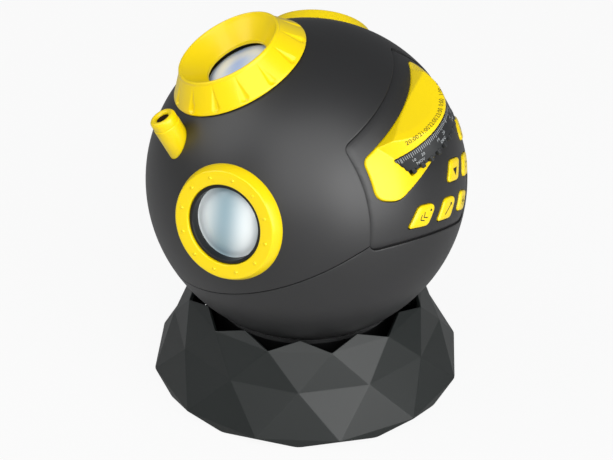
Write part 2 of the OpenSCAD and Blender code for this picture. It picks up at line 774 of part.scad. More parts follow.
module deck_screws() color("#8d9194") on_ball() {
    for (a = [0:120:240]) rotate(a) translate([lamp_r + 3.5, 0, deck_z]) deck_screw(deck_t + 1.4);
    for (x = [-1, 1]) translate([x * (motor_r + 3.4), motor_y, deck_z - 1.2]) deck_screw(deck_t + 1.2);
}
module deck_screw(h) {
    cylinder(r = screw_r, h = h);
    translate([0, 0, -1.4]) cylinder(r = screw_head_r, h = 1.4);
}

module chassis() color("#5a5e60") on_ball() difference() {
    translate([0, 0, deck_z]) cylinder(r = deck_r, h = deck_t);
    boss_places() cylinder(r = screw_r + fit_air, h = 10);
    deck_screw_places() cylinder(r = screw_r + fit_air, h = 10);
    translate([0, -dial_y, 0]) cylinder(r = axle_r - 0.5 + fit_air, h = 10);
    translate([0, motor_y, 0]) cylinder(r = shaft_r + 2.4, h = 10);
    for (a = [15, 75, 105, 165, -105, -165, -75, -15]) rotate(a)
        translate([34, 0, 0]) cylinder(r = 5, h = 10);
}

module control_board() color("#1f6b3a") on_ball() {
    board_z = box_top_z + box_t + 1.5;
    translate([-28, -24, board_z]) cube([56, 48, board_t]);
    for (x = [-24, 24], y = [-20, 20]) translate([x, y, box_top_z + box_t]) cylinder(r = 2, h = 1.5);
    translate([-9, -9, board_z + board_t]) cube([18, 18, 2]);
    translate([14, -18, board_z + board_t]) cylinder(r = 4, h = 11);
    translate([-22, 10, board_z + board_t]) cube([10, 8, 6]);
}

module key_board() color("#1f6b3a") on_ball() along_keys() {
    difference() {
        translate([-key_board_w / 2, key_board_low, key_board_h - board_t])
            cube([key_board_w, key_board_top - key_board_low, board_t]);
        for (p = key_posts) translate([p.x, p.y, 0]) cylinder(r = 1 + fit_air, h = reach);
    }
    for (p = key_places) translate([p.x - 3, p.y - 3, key_board_h]) cube([6, 6, 2.4]);
}

module key_domes() color("#9aa0a3") on_ball() along_keys() for (p = key_places)
    translate([p.x, p.y, key_board_h + 2.4]) cylinder(r1 = 2.4, r2 = 1.6, h = key_dome_h - 2.4);

module key_screws() color("#8d9194") on_ball() along_keys() for (p = key_posts)
    translate([p.x, p.y, key_board_h - board_t]) {
        cylinder(r = 1, h = 8);
        translate([0, 0, -1.2]) cylinder(r = 2, h = 1.2);
    }

module key(i) color("#ffd900") on_ball() {
    intersection() {
        hollow_ball(key_r, inner_r - 2);
        along_keys() linear_extrude(reach) polygon(key_edge(i, 0));
    }
    intersection() {
        hollow_ball(inner_r - 0.7, inner_r - 2);
        along_keys() linear_extrude(reach) polygon(key_edge(i, key_rim_w));
    }
    intersection() {
        sphere(r = key_r - 1);
        along_keys() translate([key_places[i].x, key_places[i].y, key_stem_h])
            cylinder(r = key_stem_r, h = reach);
    }
}

module key_rewind() key(0);
module key_meteor() key(1);
module key_glow() key(2);
module key_sky() key(3);
module key_forward() key(4);
module key_play() key(5);

// ---- Star projector ----

module focus_ring() color("#ffe000") on_ball() difference() {
    union() {
        difference() {
            rotate_extrude() polygon([[aperture_r, aperture_z - lip_t], [aperture_r, aperture_z],
                [aperture_r + 1, aperture_z + 1], [focus_rim_r - 2, focus_rim_z - 0.5],
                [focus_rim_r - 1.5, focus_rim_z], [focus_rim_r - 0.6, focus_rim_z],
                [focus_rim_r, focus_rim_z - 0.7], [focus_rim_r + 0.3, focus_rim_z - 2],
                [focus_low_r, focus_low_z + 0.8], [focus_low_r, focus_low_z - 6],
                [collar_r + run_air, focus_low_z - 6], [collar_r + run_air, collar_top_z + 0.8],
                [sleeve_out_r, collar_top_z + 0.8], [sleeve_out_r, aperture_z - lip_t]]);
            difference() {
                sphere(r = ball_r + 0.6);
                cylinder(r = collar_r, h = reach);
            }
        }
        translate([0, 0, sleeve_z]) tube(sleeve_out_r, sleeve_in_r, aperture_z - sleeve_z);
    }
    for (i = [0:flutes - 1]) rotate((i + 0.1) * 360 / flutes) focus_flute();
}

// A dimple for a fingertip: it starts as a point under the rim, widens and ends above the lower edge
module focus_flute() {
    top = [focus_rim_r + 0.9, focus_rim_z - 2.8];
    low = [focus_low_r - 0.35, focus_low_z + 3.8];
    run = low - top;
    translate([top.x, 0, top.y]) rotate([0, atan2(run.x, run.y), 0]) rotate_extrude()
        polygon([[0, 0], [0.1, 0], [flute_r, norm(run)], [flute_r * cos(15), norm(run) + flute_r * sin(15)],
                 [flute_r * cos(35), norm(run) + flute_r * sin(35)],
                 [flute_r * cos(60), norm(run) + flute_r * sin(60)], [0, norm(run) + flute_r]]);
}

module lens_barrel() color("#202224") on_ball() {
    difference() {
        translate([0, 0, barrel_z]) cylinder(r = barrel_r, h = barrel_top_z - barrel_z);
        translate([0, 0, barrel_z - 1]) cylinder(r = barrel_r - barrel_t, h = 60);
        translate([0, 0, barrel_top_z - lens_drop]) cylinder(r = lens_r + fit_air, h = 10);
        translate([0, 0, barrel_z - 1]) cylinder(r = lens_r + fit_air, h = 6);
    }
    for (a = [60, 180, 300]) rotate(a) translate([barrel_r - 1, 0, pin_z]) rotate([0, 90, 0])
        cylinder(r = pin_r, h = sleeve_in_r - barrel_r + 1 - end_play);
}

// Lens with a flat rim and a bulge on one or both sides, standing on z = 0
module lens(r, rim, edge, bulge_up, bulge_down = 0) {
    cylinder(r = r, h = rim);
    translate([0, 0, rim]) lens_cap(r - edge, bulge_up);
    if (bulge_down > 0) mirror([0, 0, 1]) lens_cap(r - edge - 0.4, bulge_down);
}
module lens_cap(r, bulge) {
    cap_r = (pow(r, 2) + pow(bulge, 2)) / 2 / bulge;
    intersection() {
        translate([0, 0, bulge - cap_r]) sphere(r = cap_r, $fn = 128);
        translate([0, 0, -0.2]) cylinder(r = r, h = bulge + 1);
    }
}

module front_lens() color("#dfe9f0", 0.5) on_ball() translate([0, 0, barrel_top_z - lens_drop])
    lens(lens_r, 2, 1.1, 4.4, 2);

module rear_lens() color("#dfe9f0", 0.5) on_ball() translate([0, 0, barrel_z + 3])
    lens(lens_r, 2, 1.6, 2.4);

module lens_retainer() color("#202224") on_ball() {
    translate([0, 0, barrel_top_z - lens_drop + 2]) tube(lens_r, lens_r - 1, lens_drop - 2);
    translate([0, 0, barrel_z]) tube(lens_r, lens_r - 1, 3);
}

module barrel_guide() color("#5a5e60") on_ball() difference() {
    union() {
        translate([0, 0, barrel_z - 4])
            cylinder(r = barrel_r + guide_wall, h = guide_top_z - barrel_z + 4);
        translate([0, 0, guide_flange_z]) cylinder(r = guide_flange_r, h = 2);
    }
    translate([0, 0, barrel_z - 5]) cylinder(r = barrel_r + run_air, h = 60);
    for (a = [60, 180, 300]) rotate(a) translate([0, -pin_r - 0.2, pin_z - focus_travel - pin_r - 0.5])
        cube([sleeve_in_r, 2 * pin_r + 0.4, 20]);
    guide_places() translate([0, 0, guide_flange_z - 1]) cylinder(r = screw_r + fit_air, h = 10);
}

module guide_screws() color("#8d9194") on_ball() guide_places() {
    translate([0, 0, guide_flange_z]) cylinder(r = screw_r, h = 7);
    translate([0, 0, guide_flange_z - 1.6]) cylinder(r = screw_head_r, h = 1.6);
}

module lamp_housing() color("#2a2c2e") on_ball() difference() {
    union() {
        translate([0, 0, deck_top]) cylinder(r = lamp_r, h = lamp_top_z - deck_top);
        translate([0, 0, deck_top]) cylinder(r = lamp_r + 6, h = lamp_flange_t);
    }
    translate([0, 0, deck_top - 1]) cylinder(r = lamp_r - lamp_wall - 1, h = 30);
    translate([0, 0, lamp_top_z - 8]) cylinder(r = lamp_r - lamp_wall, h = 30);
    for (a = [0:120:240]) rotate(a) translate([lamp_r + 3.5, 0, deck_top - 1])
        cylinder(r = screw_r + fit_air, h = 2.6);
}

module lamp_board() color("#e8e8e0") on_ball() {
    translate([0, 0, deck_top]) cylinder(r = 12, h = board_t);
    translate([-2.5, -2.5, deck_top + board_t]) cube([5, 5, 0.8]);
    translate([0, 0, deck_top + board_t + 0.8]) intersection() {
        sphere(r = 2);
        cylinder(r = 2, h = 2);
    }
}

module condenser_lens() color("#dfe9f0", 0.5) on_ball() translate([0, 0, lamp_top_z - 8])
    lens(lamp_r - lamp_wall - fit_air, 2, 0.8, 5);

module heat_sink() color("#a8abad") on_ball() {
    translate([0, 0, deck_z - 2]) cylinder(r = 19, h = 2);
    for (x = [-15:5:15]) translate([x - 0.6, -sqrt(pow(18, 2) - pow(x, 2)), deck_z - 10])
        cube([1.2, 2 * sqrt(pow(18, 2) - pow(x, 2)), 8]);
}

module disc_carrier() color("#26282a") on_ball() difference() {
    union() {
        translate([0, 0, gear_z]) rotate(90) linear_extrude(gear_h)
            polygon(gear_outline(disc_teeth, gear_pitch_r));
        translate([0, 0, deck_top + lamp_flange_t + end_play])
            cylinder(r = lamp_r + hub_wall, h = tray_z - deck_top - lamp_flange_t - end_play);
        translate([0, 0, tray_z - 2]) cylinder(r = tray_r, h = tray_h + 2);
    }
    cylinder(r = lamp_r + run_air, h = 60);
    translate([0, 0, tray_z]) cylinder(r = disc_r + fit_air, h = 20);
}

module star_disc() color("#101418") on_ball() translate([0, 0, tray_z]) cylinder(r = disc_r, h = disc_t);

module disc_clip() color("#5a5e60") on_ball() translate([0, 0, tray_z + disc_t])
    tube(disc_r, disc_r - 2, 1);

module motor() color("#b9bcbf") on_ball() translate([0, motor_y, deck_z - motor_h]) difference() {
    union() {
        cylinder(r = motor_r, h = motor_h);
        translate([-motor_r - 6.6, -3, motor_h - 1.2]) cube([2 * motor_r + 13.2, 6, 1.2]);
    }
    for (x = [-1, 1]) translate([x * (motor_r + 3.4), 0, motor_h - 2])
        cylinder(r = screw_r + fit_air, h = 4);
    translate([0, 0, motor_h - 12]) cylinder(r = shaft_r + run_air, h = 20);
}

module motor_pinion() color("#e9e4d4") on_ball() translate([0, motor_y, 0]) {
    translate([0, 0, deck_z - 11]) cylinder(r = shaft_r, h = gear_z + gear_h - deck_z + 12);
    translate([0, 0, gear_z]) rotate(-90 + 180 / pinion_teeth) linear_extrude(gear_h)
        polygon(gear_outline(pinion_teeth, pinion_pitch_r));
    translate([0, 0, deck_top + 2]) cylinder(r = 4.5, h = gear_z - deck_top - 2);
}

// ---- Glow ports ----

module bezel(lon) color("#ffd800") on_ball() facing(lon, port_lat) {
    difference() {
        union() {
            rotate_extrude() polygon([[bezel_hole_r, bezel_back_h], [bezel_hole_r, bezel_face_h - 1.2],
                [bezel_hole_r + 1, bezel_face_h - 0.2], [bezel_hole_r + 1.6, bezel_face_h],
                [bezel_face_r - 0.7, bezel_face_h], [bezel_face_r, bezel_face_h - 0.6],
                [bezel_r, bezel_skirt_h], [bezel_r, bezel_back_h]]);
        }
        difference() {
            sphere(r = ball_r + fit_air);
            cylinder(r = port_hole_r - 0.2, h = reach);
        }
    }
    for (i = [0:rivets - 1]) rotate(i * 360 / rivets) translate([rivet_ring, 0, bezel_face_h - 0.3])
        sphere(r = rivet_r, $fn = 32);
}
module left_bezel() bezel(-90);
module right_bezel() bezel(90);

module port_barrel(lon) color("#0d0d0e") on_ball() facing(lon, port_lat) difference() {
    translate([0, 0, port_back_h]) cylinder(r = bezel_hole_r - fit_air, h = port_front_h - port_back_h);
    translate([0, 0, port_back_h - 1]) cylinder(r = port_bore_r - port_ledge, h = reach);
    translate([0, 0, port_lens_h]) cylinder(r = port_bore_r, h = reach);
    translate([0, 0, port_back_h - 1]) cylinder(r = port_bore_r, h = 3.6);
}
module left_port_barrel() port_barrel(-90);
module right_port_barrel() port_barrel(90);

module port_lens(lon) color("#dcecf6", 0.6) on_ball() facing(lon, port_lat)
    translate([0, 0, port_lens_h]) lens(port_bore_r - fit_air, 0.8, 0.3, port_bulge);
module left_port_lens() port_lens(-90);
module right_port_lens() port_lens(90);

module port_lamp(lon) color("#e8e8e0") on_ball() facing(lon, port_lat) {
    translate([0, 0, port_back_h + 2.6 - board_t]) cylinder(r = port_bore_r - fit_air, h = board_t);
    for (a = [0:120:240]) rotate(a) translate([5, 0, port_back_h + 2.6]) {
        cylinder(r = 2.5, h = 4);
        translate([0, 0, 4]) sphere(r = 2.5, $fn = 48);
    }
}
module left_port_lamp() port_lamp(-90);
module right_port_lamp() port_lamp(90);

// ---- Meteor tube ----

module meteor_tube() color("#ffd800") on_ball() meteor_place() difference() {
    rotate_extrude() polygon([[0, meteor_low_z], [meteor_r, meteor_low_z], [meteor_r, meteor_top_z - 5.2],
        [meteor_r - 0.35, meteor_top_z - 4.9], [meteor_r - 0.35, meteor_top_z - 1.6],
        [meteor_r - 0.7, meteor_top_z - 0.7], [meteor_r - 1.6, meteor_top_z],
        [0, meteor_top_z]]);
    translate([0, 0, meteor_top_z - 6]) cylinder(r = meteor_mouth_r, h = 10);
    translate([0, 0, meteor_low_z - 1])
        cylinder(r = meteor_mouth_r + 1.4, h = meteor_top_z - meteor_low_z - 5);
}

module meteor_lens() color("#dfe9f0", 0.5) on_ball() meteor_place()
    translate([0, 0, meteor_top_z - 8.4]) lens(meteor_mouth_r + 1.3, 1.2, 0.8, 1);

module meteor_lamp() color("#e8e8e0") on_ball() meteor_place() {
    translate([0, 0, meteor_low_z - board_t]) cylinder(r = meteor_r, h = board_t);
    translate([0, 0, meteor_low_z]) cylinder(r = 2.5, h = 6);
    translate([0, 0, meteor_low_z + 6]) sphere(r = 2.5, $fn = 48);
}

// ---- Batteries ----

module battery_box() color("#303336") on_ball() difference() {
    union() {
        translate([-box_in_w / 2 - box_t, -box_in_d / 2 - box_t, -ball_r])
            cube([box_in_w + 2 * box_t, box_in_d + 2 * box_t, ball_r + box_top_z + box_t]);
        translate([0, door_screw_y, -ball_r]) cylinder(r = boss_r - 0.4, h = ball_r + box_top_z + box_t);
    }
    translate([-box_in_w / 2, -box_in_d / 2, -ball_r - 1])
        cube([box_in_w, box_in_d, ball_r + 1 + box_top_z]);
    difference() {
        translate([0, 0, -reach]) cylinder(r = reach, h = 2 * reach);
        sphere(r = inner_r - 0.1);
    }
    difference() {
        translate([-door_tab_w / 2 - 0.6, door_high - 1, -ball_r]) cube([door_tab_w + 1.2, 6, ball_r]);
        sphere(r = inner_r - rim_t - 0.6);
    }
    translate([0, door_screw_y, -ball_r]) cylinder(r = screw_r + fit_air / 2, h = ball_r + box_top_z);
    translate([0, door_screw_y, -ball_r])
        cylinder(r = door_boss_r + fit_air, h = ball_r + door_boss_z + fit_air);
}

module battery_cells() color("#3f6fa8") on_ball() for (i = [0:cells - 1])
    translate([0, (i - (cells - 1) / 2) * cell_pitch, -cell_drop]) rotate([0, i % 2 == 0 ? 90 : -90, 0]) {
        translate([0, 0, -cell_l / 2]) cylinder(r = cell_r, h = cell_l - 1.2);
        translate([0, 0, cell_l / 2 - 1.4]) cylinder(r = 2.6, h = 1.4);
    }

module battery_contacts() color("#c9ccd0") on_ball() for (i = [0:cells - 1], s = [-1, 1])
    translate([0, (i - (cells - 1) / 2) * cell_pitch, -cell_drop])
        translate([s * (box_in_w / 2 - 0.2), 0, 0]) {
            cube([0.4, 10, 10], center = true);
            rotate([0, -90 * s, 0]) cylinder(r1 = 3.6, r2 = 2.4, h = box_in_w / 2 - cell_l / 2 - 0.3);
        }

module battery_door() color("#414143") on_ball() difference() {
    union() {
        intersection() {
            hollow_ball(ball_r, inner_r);
            translate([-door_w / 2 + seam_gap, door_low + seam_gap, -ball_r])
                cube([door_w - 2 * seam_gap, door_high - door_low - 2 * seam_gap, ball_r]);
        }
        intersection() {
            sphere(r = ball_r - 1);
            translate([0, door_screw_y, -ball_r]) cylinder(r = door_boss_r, h = ball_r + door_boss_z);
        }
        intersection() {
            hollow_ball(inner_r - 0.2, inner_r - 0.2 - rim_t);
            translate([-door_tab_w / 2, door_high - 5, -ball_r]) cube([door_tab_w, 8, 60]);
        }
        intersection() {
            hollow_ball(inner_r + 0.2, inner_r - 0.2 - rim_t);
            translate([-door_tab_w / 2, door_high - 5, -ball_r]) cube([door_tab_w, 5 - seam_gap, 60]);
        }
    }
    translate([0, door_screw_y, -ball_r]) cylinder(r = screw_r + fit_air, h = ball_r);
    translate([0, door_screw_y, -ball_r])
        cylinder(r = screw_head_r + fit_air, h = ball_r + door_head_z + door_head_t);
}

module door_screw() color("#8d9194") on_ball() translate([0, door_screw_y, door_head_z]) {
    cylinder(r = screw_head_r, h = door_head_t);
    cylinder(r = screw_r, h = 10);
}

base_crown();
base_rim();
base_bosses();
base_plate();
base_feet();
base_screws();
seat_clip();
seat_ring();
seat_pad();
upper_shell();
lower_shell();
shell_screws();
control_panel();
dial_fascia();
date_dial();
dial_axle();
chassis();
deck_screws();
control_board();
key_board();
key_domes();
key_screws();
key_rewind();
key_meteor();
key_glow();
key_sky();
key_forward();
key_play();
focus_ring();
lens_barrel();
front_lens();
rear_lens();
lens_retainer();
barrel_guide();
guide_screws();
lamp_housing();
lamp_board();
condenser_lens();
heat_sink();
disc_carrier();
star_disc();
disc_clip();
motor();
motor_pinion();
left_bezel();
right_bezel();
left_port_barrel();
right_port_barrel();
left_port_lens();
right_port_lens();
left_port_lamp();
right_port_lamp();
meteor_tube();
meteor_lens();
meteor_lamp();
battery_box();
battery_cells();
battery_contacts();
battery_door();
door_screw();
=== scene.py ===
# A home planetarium: a dark ball with yellow lens ring, glow ports and keys, standing in a faceted base.
import json
import math

import bmesh
import bpy
from mathutils import Matrix, Vector


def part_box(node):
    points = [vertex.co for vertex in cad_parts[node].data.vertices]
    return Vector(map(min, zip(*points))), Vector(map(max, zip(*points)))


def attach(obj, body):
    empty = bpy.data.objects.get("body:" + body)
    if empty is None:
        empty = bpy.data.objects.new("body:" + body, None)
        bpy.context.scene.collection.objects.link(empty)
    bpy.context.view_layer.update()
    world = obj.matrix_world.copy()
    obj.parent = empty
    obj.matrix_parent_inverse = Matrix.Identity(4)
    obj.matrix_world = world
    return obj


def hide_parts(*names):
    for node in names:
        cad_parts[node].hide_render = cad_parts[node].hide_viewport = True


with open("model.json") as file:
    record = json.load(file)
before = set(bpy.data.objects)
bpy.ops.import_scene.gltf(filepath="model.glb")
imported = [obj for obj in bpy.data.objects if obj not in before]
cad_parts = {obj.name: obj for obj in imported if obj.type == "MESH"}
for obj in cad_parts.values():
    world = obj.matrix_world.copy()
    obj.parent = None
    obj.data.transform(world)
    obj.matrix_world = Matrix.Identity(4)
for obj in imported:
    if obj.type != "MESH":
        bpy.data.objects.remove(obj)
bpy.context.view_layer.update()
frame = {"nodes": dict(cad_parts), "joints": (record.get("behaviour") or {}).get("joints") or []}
nodes = frame["nodes"]
joints = {joint["name"]: joint for joint in frame["joints"]}


# ---- Base shell ----
# The crown and its rim are one injection-moulded shell of charcoal ABS. Its facets carry a fine
# spark-eroded grain, and the mould leaves a narrow rounded edge between them.

def linear(colour):
    """An sRGB hex colour, such as "ffcc00", as linear red, green, blue and alpha."""
    parts = [int(colour[i:i + 2], 16) / 255 for i in (0, 2, 4)]
    return [p / 12.92 if p <= 0.04045 else ((p + 0.055) / 1.055) ** 2.4 for p in parts] + [1.0]


def new_material(name):
    """An empty material with a node tree."""
    material = bpy.data.materials.new(name)
    material.use_nodes = True
    material.node_tree.nodes.clear()
    return material


def add_node(material, kind, settings, sockets):
    """Adds a shader node to a material or world. Sockets hold values, or (node, output) to link."""
    node = material.node_tree.nodes.new("ShaderNode" + kind)
    for name, value in settings.items():
        setattr(node, name, value)
    for name, value in sockets.items():
        if isinstance(value, tuple) and isinstance(value[0], bpy.types.Node):
            material.node_tree.links.new(value[0].outputs[value[1]], node.inputs[name])
        else:
            node.inputs[name].default_value = value
    return node


def moulded(name, colour, drift_colour, roughness, grain_mm, grain_depth_mm, coat=0.0, drift_mm=40,
            ior=1.5):
    """Moulded plastic: its colour drifts slightly over drift_mm, and a grain of grain_mm roughens it."""
    material = new_material(name)
    place = add_node(material, "TexCoord", {}, {})
    drift = add_node(material, "TexNoise", {}, {"Vector": (place, "Object"), "Scale": 1000 / drift_mm,
                                                "Detail": 2.0, "Roughness": 0.5})
    tint = add_node(material, "Mix", {"data_type": "RGBA"},
                    {0: (drift, "Fac"), 6: linear(colour), 7: linear(drift_colour)})
    grain = add_node(material, "TexNoise", {}, {"Vector": (place, "Object"), "Scale": 1000 / grain_mm,
                                                "Detail": 3.0, "Roughness": 0.6})
    rough = add_node(material, "MapRange", {}, {"Value": (grain, "Fac"), "To Min": roughness - 0.05,
                                                "To Max": roughness + 0.05})
    bump = add_node(material, "Bump", {}, {"Height": (grain, "Fac"), "Strength": 0.4,
                                           "Distance": grain_depth_mm / 1000})
    shader = add_node(material, "BsdfPrincipled", {},
                      {"Base Color": (tint, 2), "Roughness": (rough, "Result"), "Normal": (bump, "Normal"),
                       "IOR": ior, "Coat Weight": coat, "Coat Roughness": 0.12})
    add_node(material, "OutputMaterial", {}, {"Surface": (shader, "BSDF")})
    return material


def merged_copy(*names):
    """CAD nodes as one bmesh in millimetres, with their loose triangles merged."""
    bm = bmesh.new()
    for name in names:
        bm.from_mesh(nodes[name].data)
    bmesh.ops.transform(bm, matrix=Matrix.Scale(1000, 4), verts=bm.verts)
    bmesh.ops.remove_doubles(bm, verts=bm.verts, dist=0.002)
    return bm


def make_piece(bm, name, materials, body, place=Matrix.Identity(4), replaces=(), sharp=35):
    """Turns a bmesh in millimetres into a piece in metres that rides on a body."""
    mesh = bpy.data.meshes.new(name)
    bm.to_mesh(mesh)
    bm.free()
    mesh.transform(Matrix.Scale(0.001, 4) @ place)
    mesh.shade_smooth()
    mesh.set_sharp_from_angle(angle=math.radians(sharp))
    for material in materials:
        mesh.materials.append(material)
    piece = bpy.data.objects.new(name, mesh)
    bpy.context.scene.collection.objects.link(piece)
    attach(piece, body)
    if replaces:
        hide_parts(*replaces)
    return piece


def round_edges(piece, width_mm, angle, segments=2):
    """Rounds a piece's edges that are sharper than the angle, and keeps its flats flat."""
    bevel = piece.modifiers.new("Rounded edges", "BEVEL")
    bevel.width = width_mm / 1000
    bevel.segments = segments
    bevel.limit_method = "ANGLE"
    bevel.angle_limit = math.radians(angle)
    bevel.harden_normals = True


# Spark-eroded ABS: a dull even sheen that shows each facet in its own tone.
base_abs = moulded("charcoal_abs_spark_eroded", "171b1a", "1c201f", 0.42, 0.5, 0.02)

joint_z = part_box("base_rim")[1].z * 1000
shell = merged_copy("base_crown", "base_rim")
inner = [f for f in shell.faces if all(abs(v.co.z - joint_z) < 0.01 for v in f.verts)]
bmesh.ops.delete(shell, geom=inner, context="FACES_ONLY")
bmesh.ops.remove_doubles(shell, verts=shell.verts, dist=0.01)
bmesh.ops.dissolve_limit(shell, angle_limit=math.radians(0.6), verts=shell.verts, edges=shell.edges)
bmesh.ops.recalc_face_normals(shell, faces=shell.faces)
base_shell = make_piece(shell, "base_shell", [base_abs], "base",
                        replaces=("base_crown", "base_rim"), sharp=4)
round_edges(base_shell, width_mm=0.45, angle=6)


# ---- Base plate, feet and fixings ----
# A plain black bottom plate with the hub for the seat is held by four zinc-plated screws in the shell's
# bosses, and stands on five rubber feet that are glued into it.

def dress(material, *names):
    """Gives CAD nodes a material."""
    for name in names:
        nodes[name].data.materials.clear()
        nodes[name].data.materials.append(material)


def rolled_metal(name, colour, roughness, line_mm, direction):
    """Metal with drawn or turned lines of line_mm that run along a direction."""
    material = new_material(name)
    place = add_node(material, "TexCoord", {}, {})
    stretch = [1.0 if axis == direction else 14.0 for axis in range(3)]
    lines = add_node(material, "Mapping", {}, {"Vector": (place, "Object"), "Scale": stretch})
    wear = add_node(material, "TexNoise", {}, {"Vector": (lines, "Vector"), "Scale": 70 / line_mm,
                                               "Detail": 3.0})
    rough = add_node(material, "MapRange", {}, {"Value": (wear, "Fac"), "To Min": roughness - 0.08,
                                                "To Max": roughness + 0.12})
    bump = add_node(material, "Bump", {}, {"Height": (wear, "Fac"), "Strength": 0.3, "Distance": 0.00002})
    shader = add_node(material, "BsdfPrincipled", {},
                      {"Base Color": linear(colour), "Metallic": 1.0, "Roughness": (rough, "Result"),
                       "Normal": (bump, "Normal")})
    add_node(material, "OutputMaterial", {}, {"Surface": (shader, "BSDF")})
    return material


# Plain moulded ABS keeps the black a little glossy where no grain was cut into the mould.
black_abs = moulded("black_abs_plain_moulded", "0c0c0d", "101011", 0.42, 0.8, 0.01)
# Moulded rubber is duller and slightly dusty.
foot_rubber = moulded("black_rubber_moulded", "141414", "242423", 0.8, 0.4, 0.03)
# Zinc plate is a cool grey with turned lines.
zinc_steel = rolled_metal("steel_zinc_plated", "a9adb0", 0.35, 0.2, 2)
dress(base_abs, "base_bosses")
dress(black_abs, "base_plate")
dress(foot_rubber, "base_feet")
dress(zinc_steel, "base_screws")


# ---- Seat ----
# The ball rests on a turning ring of black ABS that is lined with a glued felt pad, and a grey acetal clip
# keeps the ring on the plate's hub.

# Acetal: smooth, slightly waxy and without grain.
grey_acetal = moulded("grey_acetal_moulded", "4a4e50", "505456", 0.38, 1.0, 0.005)

felt = new_material("black_felt_glued")
felt_place = add_node(felt, "TexCoord", {}, {})
# Felt: tangled fibres about 0.3 mm wide, with a soft sheen at grazing angles.
felt_fibre = add_node(felt, "TexNoise", {}, {"Vector": (felt_place, "Object"), "Scale": 1000 / 0.6,
                                             "Detail": 5.0, "Distortion": 1.5})
felt_tint = add_node(felt, "Mix", {"data_type": "RGBA"},
                     {0: (felt_fibre, "Fac"), 6: linear("0f1011"), 7: linear("232426")})
felt_bump = add_node(felt, "Bump", {}, {"Height": (felt_fibre, "Fac"), "Strength": 0.8, "Distance": 0.0002})
felt_shader = add_node(felt, "BsdfPrincipled", {},
                       {"Base Color": (felt_tint, 2), "Roughness": 0.95, "Sheen Weight": 0.4,
                        "Normal": (felt_bump, "Normal")})
add_node(felt, "OutputMaterial", {}, {"Surface": (felt_shader, "BSDF")})

dress(black_abs, "seat_ring")
dress(felt, "seat_pad")
dress(grey_acetal, "seat_clip")


# ---- Ball shells ----
# Two half shells of ABS are sprayed with a soft-touch coat and screwed together. They leave a hairline
# seam round the middle, and have openings for the ports, the lens ring, the tube, the panel and the door.

ball_r = 83.5
shell_t = 2.5
seam_gap = 0.3
seam_z = -0.8
lens_hole_z = 77.8
port_lat = math.radians(26.7)
port_near_h = 70
port_hole_h = 79.3
tube_turn = math.radians(-121.5)
tube_out = 48.5
tube_hole_r = 7.2
screw_turns = (-140, -40, 50, 130)
screw_out = 50
screw_hole_r = 2.9
door_corners = [(-27, -30), (27, -30), (27, 39), (-27, 39)]
panel_corners = [(-38.5, 44.6), (-60.5, -3.5), (0, -42), (60.5, -3.5), (38.5, 44.6)]
panel_radii = [5, 4, 8, 4, 5]

# The ball's own frame, in millimetres: +Z along the star lens, -Y towards the dial.
ball_centre = Vector(joints["globe_tilt"]["pos_m"]) * 1000
ball_up = Vector(joints["focus_turn"]["axis"]).normalized()
dial_way = Vector(joints["dial_turn"]["pos_m"]) * 1000 - ball_centre
ball_back = -(dial_way - ball_up * dial_way.dot(ball_up)).normalized()
ball_right = ball_back.cross(ball_up)
on_ball = Matrix.Translation(ball_centre) @ Matrix((ball_right, ball_back, ball_up)).transposed().to_4x4()
AXIS_X = Vector((1, 0, 0))
AXIS_Y = Vector((0, 1, 0))
AXIS_Z = Vector((0, 0, 1))
# Openings are drawn flat and cut through the ball along the last of three axes.
through_front = (AXIS_X, AXIS_Z, -AXIS_Y)
from_above = (AXIS_X, AXIS_Y, AXIS_Z)
from_below = (AXIS_X, -AXIS_Y, -AXIS_Z)


def outline(corners, radii, grow=0.0, steps=5):
    """A convex outline, counter-clockwise, moved outwards by grow and with its corners rounded."""
    corners = [Vector(corner) for corner in corners]
    count = len(corners)
    normals = []
    for i in range(count):
        run = (corners[(i + 1) % count] - corners[i]).normalized()
        normals.append(Vector((run.y, -run.x)))
    points = []
    for i in range(count):
        both = normals[i - 1] + normals[i]
        cosine = normals[i - 1].dot(normals[i])
        radius = max(radii[i] + grow, 0.05)
        middle = corners[i] + both * (grow - radius) / (1 + cosine)
        start = math.atan2(normals[i - 1].y, normals[i - 1].x)
        turn = math.acos(min(1, cosine))
        for k in range(steps + 1):
            angle = start + turn * k / steps
            points.append(middle + radius * Vector((math.cos(angle), math.sin(angle))))
    return points


def everything(bm):
    """All parts of a bmesh, as its operators take them."""
    return bm.verts[:] + bm.edges[:] + bm.faces[:]


def with_edges(faces):
    """Faces with their edges and corners, as bmesh operators take them."""
    return (list(faces) + list({edge for face in faces for edge in face.edges})
            + list({vert for face in faces for vert in face.verts}))


def flat_place(co, axes):
    """Where a point lies across the axes, as seen along the last one."""
    return Vector((co.dot(axes[0]), co.dot(axes[1])))


def cut_along(bm, points, axes, near_mm):
    """Cuts the faces that lie near an outline along each of its edges."""
    low = Vector((min(p.x for p in points), min(p.y for p in points))) - Vector((near_mm, near_mm))
    high = Vector((max(p.x for p in points), max(p.y for p in points))) + Vector((near_mm, near_mm))
    faces = set()
    for face in bm.faces:
        middle = face.calc_center_median()
        at = flat_place(middle, axes)
        if middle.dot(axes[2]) > 0 and low.x < at.x < high.x and low.y < at.y < high.y:
            faces.add(face)
    for i, start in enumerate(points):
        run = points[(i + 1) % len(points)] - start
        length = run.length
        if length < 1e-6:
            continue
        run /= length
        near = set()
        for face in faces:
            at = flat_place(face.calc_center_median(), axes) - start
            if -near_mm < at.dot(run) < length + near_mm and abs(at.x * run.y - at.y * run.x) < near_mm:
                near.add(face)
        result = bmesh.ops.bisect_plane(bm, geom=with_edges(near), dist=1e-4,
                                        plane_co=start.x * axes[0] + start.y * axes[1],
                                        plane_no=run.y * axes[0] - run.x * axes[1])
        faces -= near
        faces |= {part for part in result["geom"] if isinstance(part, bmesh.types.BMFace)}


